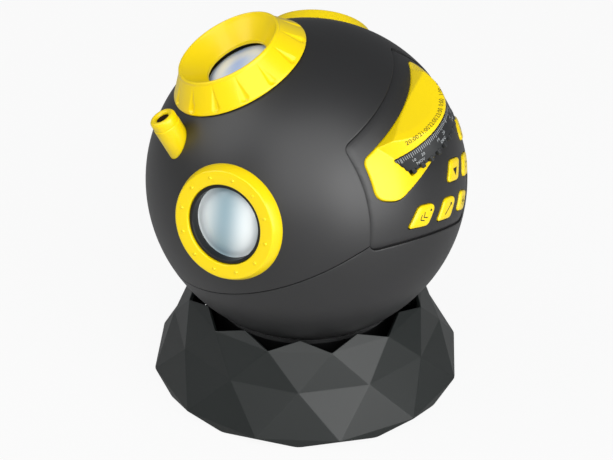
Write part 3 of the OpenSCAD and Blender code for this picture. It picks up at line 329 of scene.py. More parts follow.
def is_within(at, points):
    """True if a flat point lies inside a convex outline."""
    return all((b - a).cross(at - a) > -1e-4 for a, b in zip(points, points[1:] + points[:1]))


def gap_to(at, points):
    """Distance from a flat point to an outline."""
    best = 1e9
    for a, b in zip(points, points[1:] + points[:1]):
        run = b - a
        along = max(0.0, min(1.0, (at - a).dot(run) / max(run.length_squared, 1e-12)))
        best = min(best, (a + run * along - at).length)
    return best


def drop_at(distance, rim):
    """How far a rim of (distance, drop) pairs sinks a surface at a distance from its edge."""
    for (d0, h0), (d1, h1) in zip(rim, rim[1:]):
        if distance <= d1:
            return h0 + (h1 - h0) * max(0.0, distance - d0) / (d1 - d0)
    return 0.0


def open_or_trim(bm, corners, radii, grow, axes, radius, rim, keep_inside, near_mm=3.2):
    """Trims a ball surface to an outline, or opens it there, and rounds the new edge as the rim says."""
    side = -1 if keep_inside else 1
    for distance, _ in rim:
        cut_along(bm, outline(corners, radii, grow + side * distance), axes, near_mm)
    edge = outline(corners, radii, grow)
    gone = []
    for face in bm.faces:
        middle = face.calc_center_median()
        if middle.dot(axes[2]) > 0 and is_within(flat_place(middle, axes), edge) != keep_inside:
            gone.append(face)
    bmesh.ops.delete(bm, geom=gone, context="FACES")
    for vert in bm.verts:
        if vert.co.dot(axes[2]) <= 0:
            continue
        at = flat_place(vert.co, axes)
        distance = gap_to(at, edge)
        if distance < rim[-1][0] + near_mm:
            drop = drop_at(distance, rim)
            if drop > 0 or abs(vert.co.length - radius) < 0.3:
                height = math.sqrt((radius - drop) ** 2 - at.length_squared)
                vert.co = at.x * axes[0] + at.y * axes[1] + height * axes[2]


def round_hole(bm, middle, radius, axes, rim):
    """Opens a round hole: a square with its corners rounded until little of its sides is left."""
    corners = [middle + Vector((s * radius, t * radius)) for s, t in ((-1, -1), (1, -1), (1, 1), (-1, 1))]
    open_or_trim(bm, corners, [radius - 0.01] * 4, 0, axes, ball_r, rim, keep_inside=False)


def thicken(bm, thickness):
    """Gives a ball surface an inner wall and closes its edges."""
    bmesh.ops.recalc_face_normals(bm, faces=bm.faces)
    faces = list(bm.faces)
    if sum(face.normal.dot(face.calc_center_median()) for face in faces) < 0:
        bmesh.ops.reverse_faces(bm, faces=faces)
    border = [edge for edge in bm.edges if edge.is_boundary]
    inside = bmesh.ops.duplicate(bm, geom=everything(bm))
    twin = {vert: inside["vert_map"][vert] for edge in border for vert in edge.verts}
    copies = [part for part in inside["geom"] if isinstance(part, bmesh.types.BMVert)]
    for vert in copies:
        vert.co *= 1 - thickness / vert.co.length
    bmesh.ops.reverse_faces(bm, faces=[p for p in inside["geom"] if isinstance(p, bmesh.types.BMFace)])
    for edge in border:
        a, b = edge.verts
        bm.faces.new((b, a, twin[a], twin[b]) if edge.link_loops[0].vert is a else (a, b, twin[b], twin[a]))


def half_ball(below):
    """One half of the ball's surface, cut at the seam with a rounded edge."""
    bm = bmesh.new()
    bmesh.ops.create_uvsphere(bm, u_segments=192, v_segments=96, radius=ball_r)
    side = -1 if below else 1
    edge_z = seam_z + side * seam_gap / 2
    for distance, _ in seam_rim:
        bmesh.ops.bisect_plane(bm, geom=everything(bm), dist=1e-4, plane_co=(0, 0, edge_z + side * distance),
                               plane_no=(0, 0, -side), clear_outer=distance == 0)
    for vert in bm.verts:
        drop = drop_at(abs(vert.co.z - edge_z), seam_rim)
        flat = Vector((vert.co.x, vert.co.y))
        if drop > 0:
            flat *= math.sqrt((ball_r - drop) ** 2 - vert.co.z ** 2) / flat.length
            vert.co = (flat.x, flat.y, vert.co.z)
    return bm


# Each rim is a list of (distance from the edge, drop) that rounds the edge over.
seam_rim = [(0, 0.4), (0.12, 0.16), (0.35, 0.04), (0.7, 0)]
panel_gap_rim = [(0, 0.4), (0.15, 0.14), (0.4, 0.03), (0.8, 0)]

# Soft-touch coat on ABS: a dry, broad highlight with no mirror image.
soft_touch = moulded("dark_grey_abs_soft_touch_coat", "1b1b1c", "1f1f20", 0.44, 0.35, 0.012, ior=1.65)

upper = half_ball(below=False)
bmesh.ops.bisect_plane(upper, geom=everything(upper), clear_outer=True, plane_co=(0, 0, lens_hole_z),
                       plane_no=(0, 0, 1))
for side in (-1, 1):
    port_way = Vector((side * math.cos(port_lat), 0, math.sin(port_lat)))
    near_port = [f for f in upper.faces if f.calc_center_median().dot(port_way) > port_near_h]
    bmesh.ops.bisect_plane(upper, geom=with_edges(near_port), plane_co=port_way * port_hole_h,
                           plane_no=port_way, clear_outer=True)
tube_place = Vector((tube_out * math.sin(tube_turn), -tube_out * math.cos(tube_turn)))
round_hole(upper, tube_place, tube_hole_r, from_above, [(0, 0.2), (0.4, 0)])
open_or_trim(upper, panel_corners, panel_radii, seam_gap, through_front, ball_r, panel_gap_rim,
             keep_inside=False)
thicken(upper, shell_t)
make_piece(upper, "upper_shell_skin", [soft_touch], "globe", on_ball, ("upper_shell",))

lower = half_ball(below=True)
open_or_trim(lower, panel_corners, panel_radii, seam_gap, through_front, ball_r, panel_gap_rim,
             keep_inside=False)
open_or_trim(lower, door_corners, [0.05] * 4, 0, from_below, ball_r, panel_gap_rim, keep_inside=False)
for turn in screw_turns:
    at = Vector((screw_out * math.cos(math.radians(turn)), -screw_out * math.sin(math.radians(turn))))
    round_hole(lower, at, screw_hole_r, from_below, [(0, 0.15), (0.3, 0)])
thicken(lower, shell_t)
make_piece(lower, "lower_shell_skin", [soft_touch], "globe", on_ball, ("lower_shell",))
dress(zinc_steel, "shell_screws")


# ---- Control panel ----
# A separate five-sided moulding of the same coated ABS lies a little below the ball's surface. It is
# pillowed along its border, and has openings for the dial's fascia and the six keys.

panel_r = 83.1
panel_t = 2.1
panel_rim = [(0, 1.0), (0.5, 0.5), (1.3, 0.18), (2.6, 0)]
opening_rim = [(0, 0.35), (0.15, 0.12), (0.4, 0.03), (0.8, 0)]
fascia_corners = [(-38.5, 34.9), (-47.2, 16.3), (-40, 8.2), (40, 8.2), (47.2, 16.3), (38.5, 34.9)]
fascia_radii = [5, 7, 8, 8, 7, 5]
key_tilt = math.radians(12)
along_keys = (AXIS_X, Vector((0, -math.sin(key_tilt), math.cos(key_tilt))),
              Vector((0, -math.cos(key_tilt), -math.sin(key_tilt))))
key_air = 0.3
key_half_w = 6.4
leaf = [1, 3, 2.6, 4]
even = [1.6, 3, 1.6, 3]
mirrored_leaf = [2.6, 3, 1, 4]
# Each key: place across its travel, half length and corner radii.
keys = {"key_rewind": ((-33, 7.4), 10, leaf), "key_meteor": ((-16.5, -2.4), 10, leaf),
        "key_glow": ((0, -12.2), 8, even), "key_sky": ((16.5, -2.4), 10, mirrored_leaf),
        "key_forward": ((33, 7.4), 10, mirrored_leaf), "key_play": ((0, 8.6), 10, even)}


def key_corners(place, half):
    """The four corners of a key, from its left point counter-clockwise."""
    return [(place[0] + x, place[1] + y) for x, y in ((-half, 0), (0, -key_half_w), (half, 0), (0, key_half_w))]


def ball_patch(low, high, step, axes, radius):
    """A square-meshed patch of a ball surface between two flat corners."""
    bm = bmesh.new()
    size = Vector(high) - Vector(low)
    bmesh.ops.create_grid(bm, x_segments=round(size.x / step), y_segments=round(size.y / step), size=0.5)
    for vert in bm.verts:
        at = Vector(((vert.co.x + 0.5) * size.x, (vert.co.y + 0.5) * size.y)) + Vector(low)
        vert.co = (at.x * axes[0] + at.y * axes[1]
                   + math.sqrt(radius ** 2 - at.length_squared) * axes[2])
    return bm


panel = ball_patch((-62, -43.5), (62, 46), 2.0, through_front, panel_r)
open_or_trim(panel, panel_corners, panel_radii, 0, through_front, panel_r, panel_rim, keep_inside=True,
             near_mm=2.4)
open_or_trim(panel, fascia_corners, fascia_radii, seam_gap, through_front, panel_r, opening_rim,
             keep_inside=False, near_mm=2.4)
for place, half, radii in keys.values():
    open_or_trim(panel, key_corners(place, half), radii, key_air, along_keys, panel_r, opening_rim,
                 keep_inside=False, near_mm=2.4)
thicken(panel, panel_t)
make_piece(panel, "control_panel_skin", [soft_touch], "globe", on_ball, ("control_panel",))
dress(black_abs, "chassis")
dress(zinc_steel, "deck_screws", "key_screws", "dial_axle")


# ---- Dial fascia ----
# A glossy yellow ABS moulding round the dial. Its lip stands out over the dial as a curved ledge with a
# raised border that carries the printed hours, and a shallow dish behind it.

# Polished yellow ABS: a clear gloss with a faint waviness from the mould.
yellow_abs = moulded("yellow_abs_polished_mould", "fbdc00", "f9d900", 0.31, 20.0, 0.003, coat=0.15,
                     drift_mm=60, ior=1.46)
# Pad-printed ink lies flat and dull on the moulding.
black_ink = moulded("black_ink_pad_printed", "1d1a10", "26221a", 0.6, 0.3, 0.004)

fascia = merged_copy("dial_fascia")
fascia.transform(on_ball.inverted())
fascia_piece = make_piece(fascia, "dial_fascia_moulding", [yellow_abs], "globe", on_ball,
                          ("dial_fascia",))
remesh = fascia_piece.modifiers.new("Even skin", "REMESH")
remesh.mode = "VOXEL"
remesh.voxel_size = 0.0004
remesh.use_smooth_shade = True
smooth = fascia_piece.modifiers.new("Rounded edges", "SMOOTH")
smooth.factor = 0.5
smooth.iterations = 4

lip_slope = math.radians(29)
lip_r = 31.5
lip_low_z = 24.9
lip_t = 1.6
dial_y = -61.0
lip_edge_y = dial_y - lip_r
# The hours stand 14.4 degrees apart and climb towards the lip's ends, by 2.3 mm per radian.
hours = ["20:00", "21:00", "22:00", "23:00", "0:00", "1:00", "2:00"]
hour_pitch = 14.4
hour_size = 3.4
hour_up = 2.1
hour_climb = 2.3
ink_out = 0.1
ink_up = 0.06


def lettering(text, size, place_of, cuts=0):
    """Flat text of a size in millimetres, cut finer and laid on a surface by place_of(x, y)."""
    curve = bpy.data.curves.new(text, "FONT")
    curve.body = text
    curve.size = size
    curve.align_x = "CENTER"
    curve.resolution_u = 2
    holder = bpy.data.objects.new(text, curve)
    bpy.context.scene.collection.objects.link(holder)
    bpy.context.view_layer.update()
    mesh = bpy.data.meshes.new_from_object(holder.evaluated_get(bpy.context.evaluated_depsgraph_get()))
    bpy.data.objects.remove(holder)
    bm = bmesh.new()
    bm.from_mesh(mesh)
    bpy.data.meshes.remove(mesh)
    bmesh.ops.triangulate(bm, faces=bm.faces)
    if cuts:
        bmesh.ops.subdivide_edges(bm, edges=bm.edges, cuts=cuts, use_grid_fill=True)
    for vert in bm.verts:
        vert.co = place_of(vert.co.x, vert.co.y)
    bmesh.ops.recalc_face_normals(bm, faces=bm.faces)
    return bm


def on_lip(turn):
    """Lays print on the lip's outer wall, and on its sloping top where the wall is low."""
    def place(x, y):
        angle = turn + x / lip_r
        wall = lip_t + lip_r * (1 - math.cos(angle)) * math.tan(lip_slope)
        up = hour_up + hour_climb * abs(angle) + y
        ring = lip_r + ink_out
        if up > wall:
            ring -= (up - wall) / math.hypot(1, math.cos(angle) * math.tan(lip_slope)) + ink_up
        back = dial_y - ring * math.cos(angle)
        height = min(lip_low_z + up, lip_low_z + lip_t + ink_up + (back - lip_edge_y) * math.tan(lip_slope))
        return Vector((ring * math.sin(angle), back, height))
    return place


def join_to(bm, part):
    """Moves the faces of a bmesh into another one."""
    mesh = bpy.data.meshes.new("part")
    part.to_mesh(mesh)
    part.free()
    bm.from_mesh(mesh)
    bpy.data.meshes.remove(mesh)


printing = bmesh.new()
for i, hour in enumerate(hours):
    turn = math.radians(hour_pitch * (i - len(hours) // 2))
    join_to(printing, lettering(hour, hour_size, on_lip(turn), cuts=3))
make_piece(printing, "printed_hours", [black_ink], "globe", on_ball)


# ---- Date dial ----
# A thumb wheel of dark grey ABS: its toothed lower rim meshes with the star disc, and the drum above it is
# pad-printed in light grey with a tick for every other day, numbers and month names.

dial_r = 31.2
dial_z = 12.5
rim_h = 3.0
drum_h = 9.0
dial_teeth = 36
# Each tooth: its width at four radii, as a share of the pitch, less a little play.
tooth_rings = [(29.2, 0.62), (30.1, 0.56), (30.8, 0.46), (31.5, 0.3)]
tooth_play = 0.95
drum_t = 2

# Satin ABS with a trace of handling gloss.
dial_abs = moulded("dark_grey_abs_satin_moulded", "222425", "292b2c", 0.4, 0.6, 0.01)
light_ink = moulded("light_grey_ink_pad_printed", "b9bdbf", "a5a9ab", 0.6, 0.3, 0.004)


def turned(profile, steps=128, closed=True):
    """A turned shape about +Z from (radius, height) points."""
    bm = bmesh.new()
    verts = [bm.verts.new((radius, 0, height)) for radius, height in profile]
    edges = [bm.edges.new(pair) for pair in zip(verts, verts[1:])]
    if closed:
        edges.append(bm.edges.new((verts[-1], verts[0])))
    bmesh.ops.spin(bm, geom=verts + edges, cent=(0, 0, 0), axis=(0, 0, 1), angle=math.tau, steps=steps,
                   use_merge=True, use_duplicate=False)
    bmesh.ops.remove_doubles(bm, verts=bm.verts, dist=1e-4)
    bmesh.ops.recalc_face_normals(bm, faces=bm.faces)
    return bm


def arc(middle, radius, start, end, steps=5):
    """Points of a profile along an arc, angles in degrees from the radius direction."""
    return [(middle[0] + radius * math.cos(math.radians(start + (end - start) * k / steps)),
             middle[1] + radius * math.sin(math.radians(start + (end - start) * k / steps)))
            for k in range(steps + 1)]


# The toothed rim: an outline, extruded, with its edges rounded by a bevel.
rim = bmesh.new()
ring = []
for tooth in range(dial_teeth):
    middle = math.tau * (tooth + 0.5) / dial_teeth + math.pi / 2
    pitch = math.tau / dial_teeth
    for radius, share in tooth_rings:
        ring.append((radius, middle - share * pitch / 2 * tooth_play))
    for radius, share in reversed(tooth_rings):
        ring.append((radius, middle + share * pitch / 2 * tooth_play))
outer = [rim.verts.new((radius * math.cos(angle), radius * math.sin(angle), 0)) for radius, angle in ring]
rim_face = rim.faces.new(outer)
grown = bmesh.ops.extrude_face_region(rim, geom=[rim_face])
bmesh.ops.translate(rim, vec=(0, 0, rim_h),
                    verts=[v for v in grown["geom"] if isinstance(v, bmesh.types.BMVert)])
bmesh.ops.recalc_face_normals(rim, faces=rim.faces)
bmesh.ops.transform(rim, matrix=Matrix.Translation((0, dial_y, dial_z)), verts=rim.verts)
rim_piece = make_piece(rim, "date_dial_rim", [dial_abs], "dial", on_ball)
round_edges(rim_piece, width_mm=0.35, angle=40, segments=3)

top = dial_z + rim_h + drum_h
drum = turned([(dial_r - drum_t, dial_z + rim_h), (dial_r, dial_z + rim_h)]
              + arc((dial_r - 0.4, top - 0.4), 0.4, 0, 90) + [(dial_r - drum_t, top)], steps=180)
drum.transform(Matrix.Translation((0, dial_y, 0)))
make_piece(drum, "date_dial_drum", [dial_abs], "dial", on_ball, ("date_dial",))


def on_drum(turn, height):
    """Lays print on the drum at a turn from the front, in radians, and a height."""
    ink_r = dial_r + 0.03

    def place(x, y):
        angle = turn + x / dial_r
        return Vector((ink_r * math.sin(angle), dial_y - ink_r * math.cos(angle), height + y))
    return place


months = [("JAN", 31), ("FEB", 28), ("MAR", 31), ("APR", 30), ("MAY", 31), ("JUN", 30),
          ("JUL", 31), ("AUG", 31), ("SEP", 30), ("OCT", 31), ("NOV", 30), ("DEC", 31)]
year = sum(days for _, days in months)
tick_w = 0.25
tick_h = 2.2
long_tick_h = 2.9
date_size = 2.2
month_up = 0.7
number_up = 3.2

scale = bmesh.new()
day = 0
for month, days in months:
    for date in range(0, days, 2):
        lay = on_drum(math.tau * (day + date) / year, top - 0.5)
        tick = bmesh.ops.create_grid(scale, x_segments=1, y_segments=1, size=0.5)
        for vert in tick["verts"]:
            vert.co = lay(vert.co.x * tick_w, (vert.co.y - 0.5) * (tick_h if date % 10 else long_tick_h))
    words = [(month, day + days / 2, month_up)] + [(str(date), day + date, number_up) for date in (10, 20)]
    for text, date, up in words:
        join_to(scale, lettering(text, date_size, on_drum(math.tau * date / year, dial_z + rim_h + up)))
    day += days
make_piece(scale, "printed_dates", [light_ink], "dial", on_ball)


# ---- Keys ----
# Six keys of glossy yellow ABS stand a millimetre out of the panel. They are pillowed, have a black symbol
# printed on top, and press on the switches of the key board inside.

key_r = 84.2
key_t = 3.2
ink_t = 0.04
key_rim = [(0, 0.8), (0.25, 0.42), (0.7, 0.18), (1.6, 0.04), (2.6, 0)]


def printed(name, shapes, key):
    """Black print on a key: shapes are lists of flat points from the key's middle."""
    place = keys[key][0]
    bm = bmesh.new()
    for points in shapes:
        bm.faces.new([bm.verts.new((place[0] + x, place[1] + y, 0)) for x, y in points])
    bmesh.ops.triangulate(bm, faces=bm.faces)
    bmesh.ops.subdivide_edges(bm, edges=bm.edges, cuts=3, use_grid_fill=True)
    for vert in bm.verts:
        flat = vert.co.xy
        vert.co = (flat.x * along_keys[0] + flat.y * along_keys[1]
                   + math.sqrt((key_r + ink_t) ** 2 - flat.length_squared) * along_keys[2])
    make_piece(bm, name, [black_ink], key + "_cap", on_ball)


def stroke(x0, y0, x1, y1, width=0.5):
    """A printed line as four points."""
    run = Vector((x1 - x0, y1 - y0)).normalized() * width / 2
    return [(x0 - run.y, y0 + run.x), (x0 + run.y, y0 - run.x),
            (x1 + run.y, y1 - run.x), (x1 - run.y, y1 + run.x)]


def dot(x, y, radius, count=14):
    """A printed round dot."""
    return [(x + radius * math.cos(math.tau * k / count), y + radius * math.sin(math.tau * k / count))
            for k in range(count)]


for name, (place, half, radii) in keys.items():
    reach = Vector((half + 1, key_half_w + 1))
    cap = ball_patch(Vector(place) - reach, Vector(place) + reach, 0.9, along_keys, key_r)
    open_or_trim(cap, key_corners(place, half), radii, 0, along_keys, key_r, key_rim, keep_inside=True,
                 near_mm=1.4)
    thicken(cap, key_t)
    make_piece(cap, name + "_top", [yellow_abs], name + "_cap", on_ball, (name,))

printed("rewind_print", [stroke(-1.2, 0, 0.8, 1.8), stroke(-1.2, 0, 0.8, -1.8), stroke(-3.4, 0, -1.4, 1.8),
                         stroke(-3.4, 0, -1.4, -1.8), dot(4.4, 0, 0.6)], "key_rewind")
printed("forward_print", [stroke(1.2, 0, -0.8, 1.8), stroke(1.2, 0, -0.8, -1.8), stroke(3.4, 0, 1.4, 1.8),
                          stroke(3.4, 0, 1.4, -1.8), dot(-4.4, 0, 0.6)], "key_forward")
printed("meteor_print", [stroke(-4.2, -0.6, 2.6, 0.6, 0.6), dot(2.8, 0.6, 0.8)], "key_meteor")
printed("play_print", [[(-1.8, -2.2), (2.4, 0), (-1.8, 2.2)]], "key_play")
printed("glow_print", [dot(0, 0, 1.1)] + [stroke(1.7 * math.cos(a), 1.7 * math.sin(a), 2.6 * math.cos(a),
                                                 2.6 * math.sin(a), 0.4)
                                          for a in (math.tau * k / 8 for k in range(8))], "key_glow")
printed("sky_print", [dot(-2.2, 0.2, 0.5), dot(0.2, 1.2, 0.6), dot(2.4, -0.2, 0.5), dot(0.4, -1.4, 0.4)],
        "key_sky")

# Glass-fibre board under a glossy green solder mask, with copper that shows through as paler patches.
circuit_board = moulded("green_circuit_board_solder_masked", "1d6b3c", "2a7a48", 0.35, 1.2, 0.02, coat=0.3,
                        drift_mm=6)
dress(circuit_board, "control_board", "key_board")
dress(zinc_steel, "key_domes")


# ---- Focus ring ----
# The yellow ring round the star lens is turned by hand to focus. It is one glossy ABS moulding with a
# funnel, a rounded rim and fourteen grip flutes, each a dimple that widens downwards from a point.

flutes = 14
first_flute = 0.1
# Radius and height of the skirt's ends, and of the two ends of a flute's middle line.
skirt_top = Vector((28.5, 87.2))
skirt_low = Vector((36.7, 77.0))
flute_top = Vector((29.1, 86.4))
flute_low = Vector((36.65, 79.6))
flute_r = 2.8
flute_tip_r = 0.1
# Only this part of the skirt is fluted, and flute_soft, in square millimetres, softens the flutes' edges.
flute_soft = 0.03
fluted_from_r = 28.3
fluted_z = (76.3, 87.6)

skirt = [tuple(skirt_top.lerp(skirt_low, k / 26)) for k in range(27)]
profile = ([(16.4, 77.9), (16.4, 79.1), (16.5, 79.45), (16.9, 79.8)]
           + [(17.4 + 8.6 * k / 6, 80.3 + 8.0 * k / 6) for k in range(7)]
           + arc((27.15, 88.25), 0.95, 150, 20, 8)
           + [(28.12, 88.2), (28.1, 87.85), (28.25, 87.55)] + skirt
           + [(36.9, 76.5), (36.95, 76.1), (36.8, 75.75), (36.4, 75.85), (33, 77.4), (29.6, 78.8)]
           + [(29.6, 81.2), (26.2, 81.2), (26.2, 68.5), (24.2, 68.5), (24.2, 77.9)])
focus = turned(profile, steps=504)
axis_run = (flute_low - flute_top).normalized()
axis_out = Vector((-axis_run.y, axis_run.x))
axis_len = (flute_low - flute_top).length
for vert in focus.verts:
    ring = math.hypot(vert.co.x, vert.co.y)
    if ring < fluted_from_r or not fluted_z[0] <= vert.co.z <= fluted_z[1]:
        continue
    turn = math.atan2(vert.co.y, vert.co.x)
    pitch = math.tau / flutes
    off = (turn - first_flute * pitch + pitch / 2) % pitch - pitch / 2
    at = Vector((ring, vert.co.z)) - flute_top
    along = at.dot(axis_run)
    out = at.dot(axis_out)
    if along < 0:
        reach = flute_tip_r
    elif along < axis_len:
        reach = flute_tip_r + (flute_r - flute_tip_r) * along / axis_len
    else:
        reach = math.sqrt(max(0.0, flute_r ** 2 - (along - axis_len) ** 2))
    side = abs(ring * math.sin(off))
    depth = out + math.sqrt(reach ** 2 - side ** 2) if side < reach else out - (side - reach)
    depth = (depth + math.sqrt(depth ** 2 + flute_soft)) / 2
    if depth > 0.01:
        shift = axis_out * depth
        ring -= shift.x
        vert.co = (ring * math.cos(turn), ring * math.sin(turn), vert.co.z - shift.y)
make_piece(focus, "focus_ring_moulding", [yellow_abs], "focus", on_ball, ("focus_ring",),
           sharp=60)


# ---- Star lens and barrel ----
# A coated glass lens closes the black barrel that slides in the ring. Its colour carries a painted reflection
# of the room as a pale blue haze. The barrel's guide, the disc with the star film, its gear and its lamp lie
# behind it.

def lens_glass(name, pale, deep, middle_mm, band_mm, roughness):
    """Glossy glass with a painted reflection of the room in its colour, as soft upright bands, deep in the
    middle and pale beside it.
    """
    material = new_material(name)
    place = add_node(material, "TexCoord", {}, {})
    centred = add_node(material, "Mapping", {}, {"Vector": (place, "Object"),
                                                 "Location": -middle_mm / 1000})
    # The bands are a painted reflection of the room, laid into the glass's colour.
    bands = add_node(material, "TexWave", {"wave_type": "BANDS", "bands_direction": "X"},
                     {"Vector": (centred, "Vector"), "Scale": 1000 * math.pi / 10 / band_mm,
                      "Distortion": 2.2, "Detail": 1.0, "Detail Scale": 0.7, "Detail Roughness": 0.3})
    tint = add_node(material, "Mix", {"data_type": "RGBA"},
                    {0: (bands, "Fac"), 6: linear(deep), 7: linear(pale)})
    shader = add_node(material, "BsdfPrincipled", {},
                      {"Base Color": (tint, 2), "Roughness": roughness, "IOR": 1.5,
                       "Coat Weight": 0.5, "Coat Roughness": 0.04})
    add_node(material, "OutputMaterial", {}, {"Surface": (shader, "BSDF")})
    return material


# Glass with a bluish anti-reflection coat, and a painted reflection of the room in its colour.
coated_glass_painted_reflection = lens_glass("coated_glass_star_lens", "e8f1ff", "bcd1fc", on_ball @ Vector((0, 0, 78)),
                          band_mm=16, roughness=0.16)
# Clear crown glass of the hidden lenses.
clear_glass = new_material("clear_crown_glass")
clear_shader = add_node(clear_glass, "BsdfPrincipled", {},
                        {"Base Color": linear("e4f0ee"), "Roughness": 0.03, "IOR": 1.52,
                         "Transmission Weight": 0.9})
add_node(clear_glass, "OutputMaterial", {}, {"Surface": (clear_shader, "BSDF")})
# Photographic film: glossy black with pin-sharp clear dots about 0.3 mm wide.
film = new_material("star_film_gelatin")
film_place = add_node(film, "TexCoord", {}, {})
film_dots = add_node(film, "TexVoronoi", {}, {"Vector": (film_place, "Object"), "Scale": 1000 / 1.6})
film_stars = add_node(film, "MapRange", {}, {"Value": (film_dots, "Distance"), "From Min": 0.07,
                                             "From Max": 0.12, "To Min": 1.0, "To Max": 0.0})
film_tint = add_node(film, "Mix", {"data_type": "RGBA"},
                     {0: (film_stars, "Result"), 6: linear("0a0d12"), 7: linear("c9d4de")})
film_shader = add_node(film, "BsdfPrincipled", {}, {"Base Color": (film_tint, 2), "Roughness": 0.2})
add_node(film, "OutputMaterial", {}, {"Surface": (film_shader, "BSDF")})
# White solder mask with yellowish emitters gives a warm white.
lamp_white = moulded("white_lamp_board_lacquered", "e9e6da", "f3f0e2", 0.35, 2.0, 0.01, drift_mm=9)
# Natural acetal is a milky cream.
white_acetal = moulded("natural_acetal_moulded", "e6e0cd", "ece7d8", 0.4, 1.0, 0.005)
# Extruded aluminium and drawn steel keep the lines of their dies.
aluminium = rolled_metal("aluminium_bare_extruded", "c3c5c7", 0.32, 0.15, 1)
motor_can = rolled_metal("steel_can_drawn", "b4b7ba", 0.28, 0.2, 2)


def dome(radius, edge_h, bulge, edge_t, steps=14):
    """Profile of a lens with a bulging face and a flat rim of edge_t, from its axis round to its back."""
    rim_r = radius + 0.9
    cap_r = (radius ** 2 + bulge ** 2) / (2 * bulge)
    top_h = edge_h + edge_t
    reach = math.asin(radius / cap_r)
    face = [(cap_r * math.sin(reach * k / steps), top_h + bulge - cap_r + cap_r * math.cos(reach * k / steps))
            for k in range(steps + 1)]
    return face + [(rim_r, top_h), (rim_r, edge_h), (0, edge_h)]


# The lens stays 2 mm and a little air below the funnel's lip, because the barrel slides up by 2 mm.
star_lens = turned(dome(radius=18.0, edge_h=72.0, bulge=3.4, edge_t=3.2), steps=96, closed=False)
make_piece(star_lens, "star_lens_glass", [coated_glass_painted_reflection], "barrel", on_ball, ("front_lens",))
dress(black_abs, "lens_barrel", "lens_retainer", "lamp_housing", "disc_carrier")
dress(clear_glass, "rear_lens", "condenser_lens", "meteor_lens")
dress(grey_acetal, "barrel_guide", "disc_clip")
dress(film, "star_disc")
dress(lamp_white, "lamp_board", "left_port_lamp", "right_port_lamp", "meteor_lamp")
dress(aluminium, "heat_sink")
dress(motor_can, "motor")
dress(white_acetal, "motor_pinion")
dress(zinc_steel, "guide_screws")


# ---- Glow ports ----
# On each side a frosted lamp dome sits in a black barrel behind a yellow ABS bezel, which is snapped into
# the ball. Twelve small moulded rivet heads stand round the bezel's flat face.

rivets = 12
rivet_r = 0.95
rivet_out = 24
rivet_z = 84.3
bezel_profile = ([(20.3, 72.2), (20.3, 83.6)] + arc((21.1, 83.8), 0.8, 180, 90)
                 + arc((26.6, 83.4), 1.2, 90, 28, 6)
                 + [(28.25, 82.6), (28.75, 81.4), (29.15, 80.2), (29.4, 79.2), (29.45, 78.35)]
                 + [(28.9, 78.45), (25.2, 79.7), (24.8, 79.5), (24.8, 72.2)])
port_tube_profile = ([(18.4, 60), (20.1, 60), (20.1, 82.9)] + arc((19.8, 82.9), 0.3, 0, 90, 3)
                     + arc((18.8, 82.8), 0.4, 90, 180, 3)
                     + [(18.4, 77.3), (16.8, 77.3), (16.8, 62.6), (18.4, 62.6)])
for side, name in ((-1, "left"), (1, "right")):
    port = (on_ball @ Matrix.Rotation(side * math.pi / 2, 4, "Z")
            @ Matrix.Rotation(math.pi / 2 - port_lat, 4, "X"))
    # Frosted acrylic, its colour a painted reflection of the studio lights: a blue-grey band between paler
    # bands.
    frosted_dome_painted_reflection = lens_glass("frosted_acrylic_painted_reflection_" + name + "_dome", "f4fbfc", "9bb4be",
                              port @ Vector((0, 0, 80)) - Vector((2, 0, 0)), band_mm=26, roughness=0.3)
    bezel = turned(bezel_profile, steps=144)
    for k in range(rivets):
        turn = math.tau * k / rivets
        head = Matrix.Translation((rivet_out * math.cos(turn), rivet_out * math.sin(turn), rivet_z))
        bmesh.ops.create_uvsphere(bezel, u_segments=20, v_segments=12, radius=rivet_r, matrix=head)
    make_piece(bezel, name + "_bezel_moulding", [yellow_abs], "globe", port,
               (name + "_bezel",))
    barrel = turned(port_tube_profile, steps=96)
    make_piece(barrel, name + "_port_tube", [black_abs], "globe", port,
               (name + "_port_barrel",))
    lens = turned(dome(radius=17.4, edge_h=77.35, bulge=4.1, edge_t=0.8), steps=96, closed=False)
    make_piece(lens, name + "_port_dome", [frosted_dome_painted_reflection], "globe", port,
               (name + "_port_lens",))


# ---- Meteor tube ----
# A short yellow ABS tube with a rounded mouth throws the meteors. A fine groove runs round it below the
# mouth, where its end cap is pressed on.

# Painted shade: the deep bore is coloured a matt dark brown in place of the shade that falls inside the tube.
bore_painted_shade = moulded("brown_bore_painted_shade", "3a1f05", "2c1703", 0.8, 0.5, 0.005)

bore_r = 3.4
bore_painted_shade_z = 81.7
tube = turned([(0, 56), (7, 56), (7, 78.5)]
              + [(6.75, 78.7), (6.62, 78.95), (6.75, 79.2), (6.8, 79.5), (6.8, 81.9)]
              + arc((5.1, 82.25), 1.68, 0, 180, 12) + [(bore_r, 81.0), (bore_r, 57.5), (0, 57.5)],
              steps=72, closed=False)
# The bore's faces below the mouth get the dark painted shade.
for face in tube.faces:
    middle = face.calc_center_median()
    painted = math.hypot(middle.x, middle.y) < bore_r + 0.02 and middle.z < bore_painted_shade_z
    face.material_index = 1 if painted else 0
tube.transform(Matrix.Translation((tube_place.x, tube_place.y, 0)))
make_piece(tube, "meteor_tube_moulding", [yellow_abs, bore_painted_shade], "globe", on_ball,
           ("meteor_tube",), sharp=50)


# ---- Battery bay ----
# Four AA cells lie in a black tray between nickel-plated springs. A coated ABS door in the lower shell
# closes the bay and is held by one screw and a tongue.

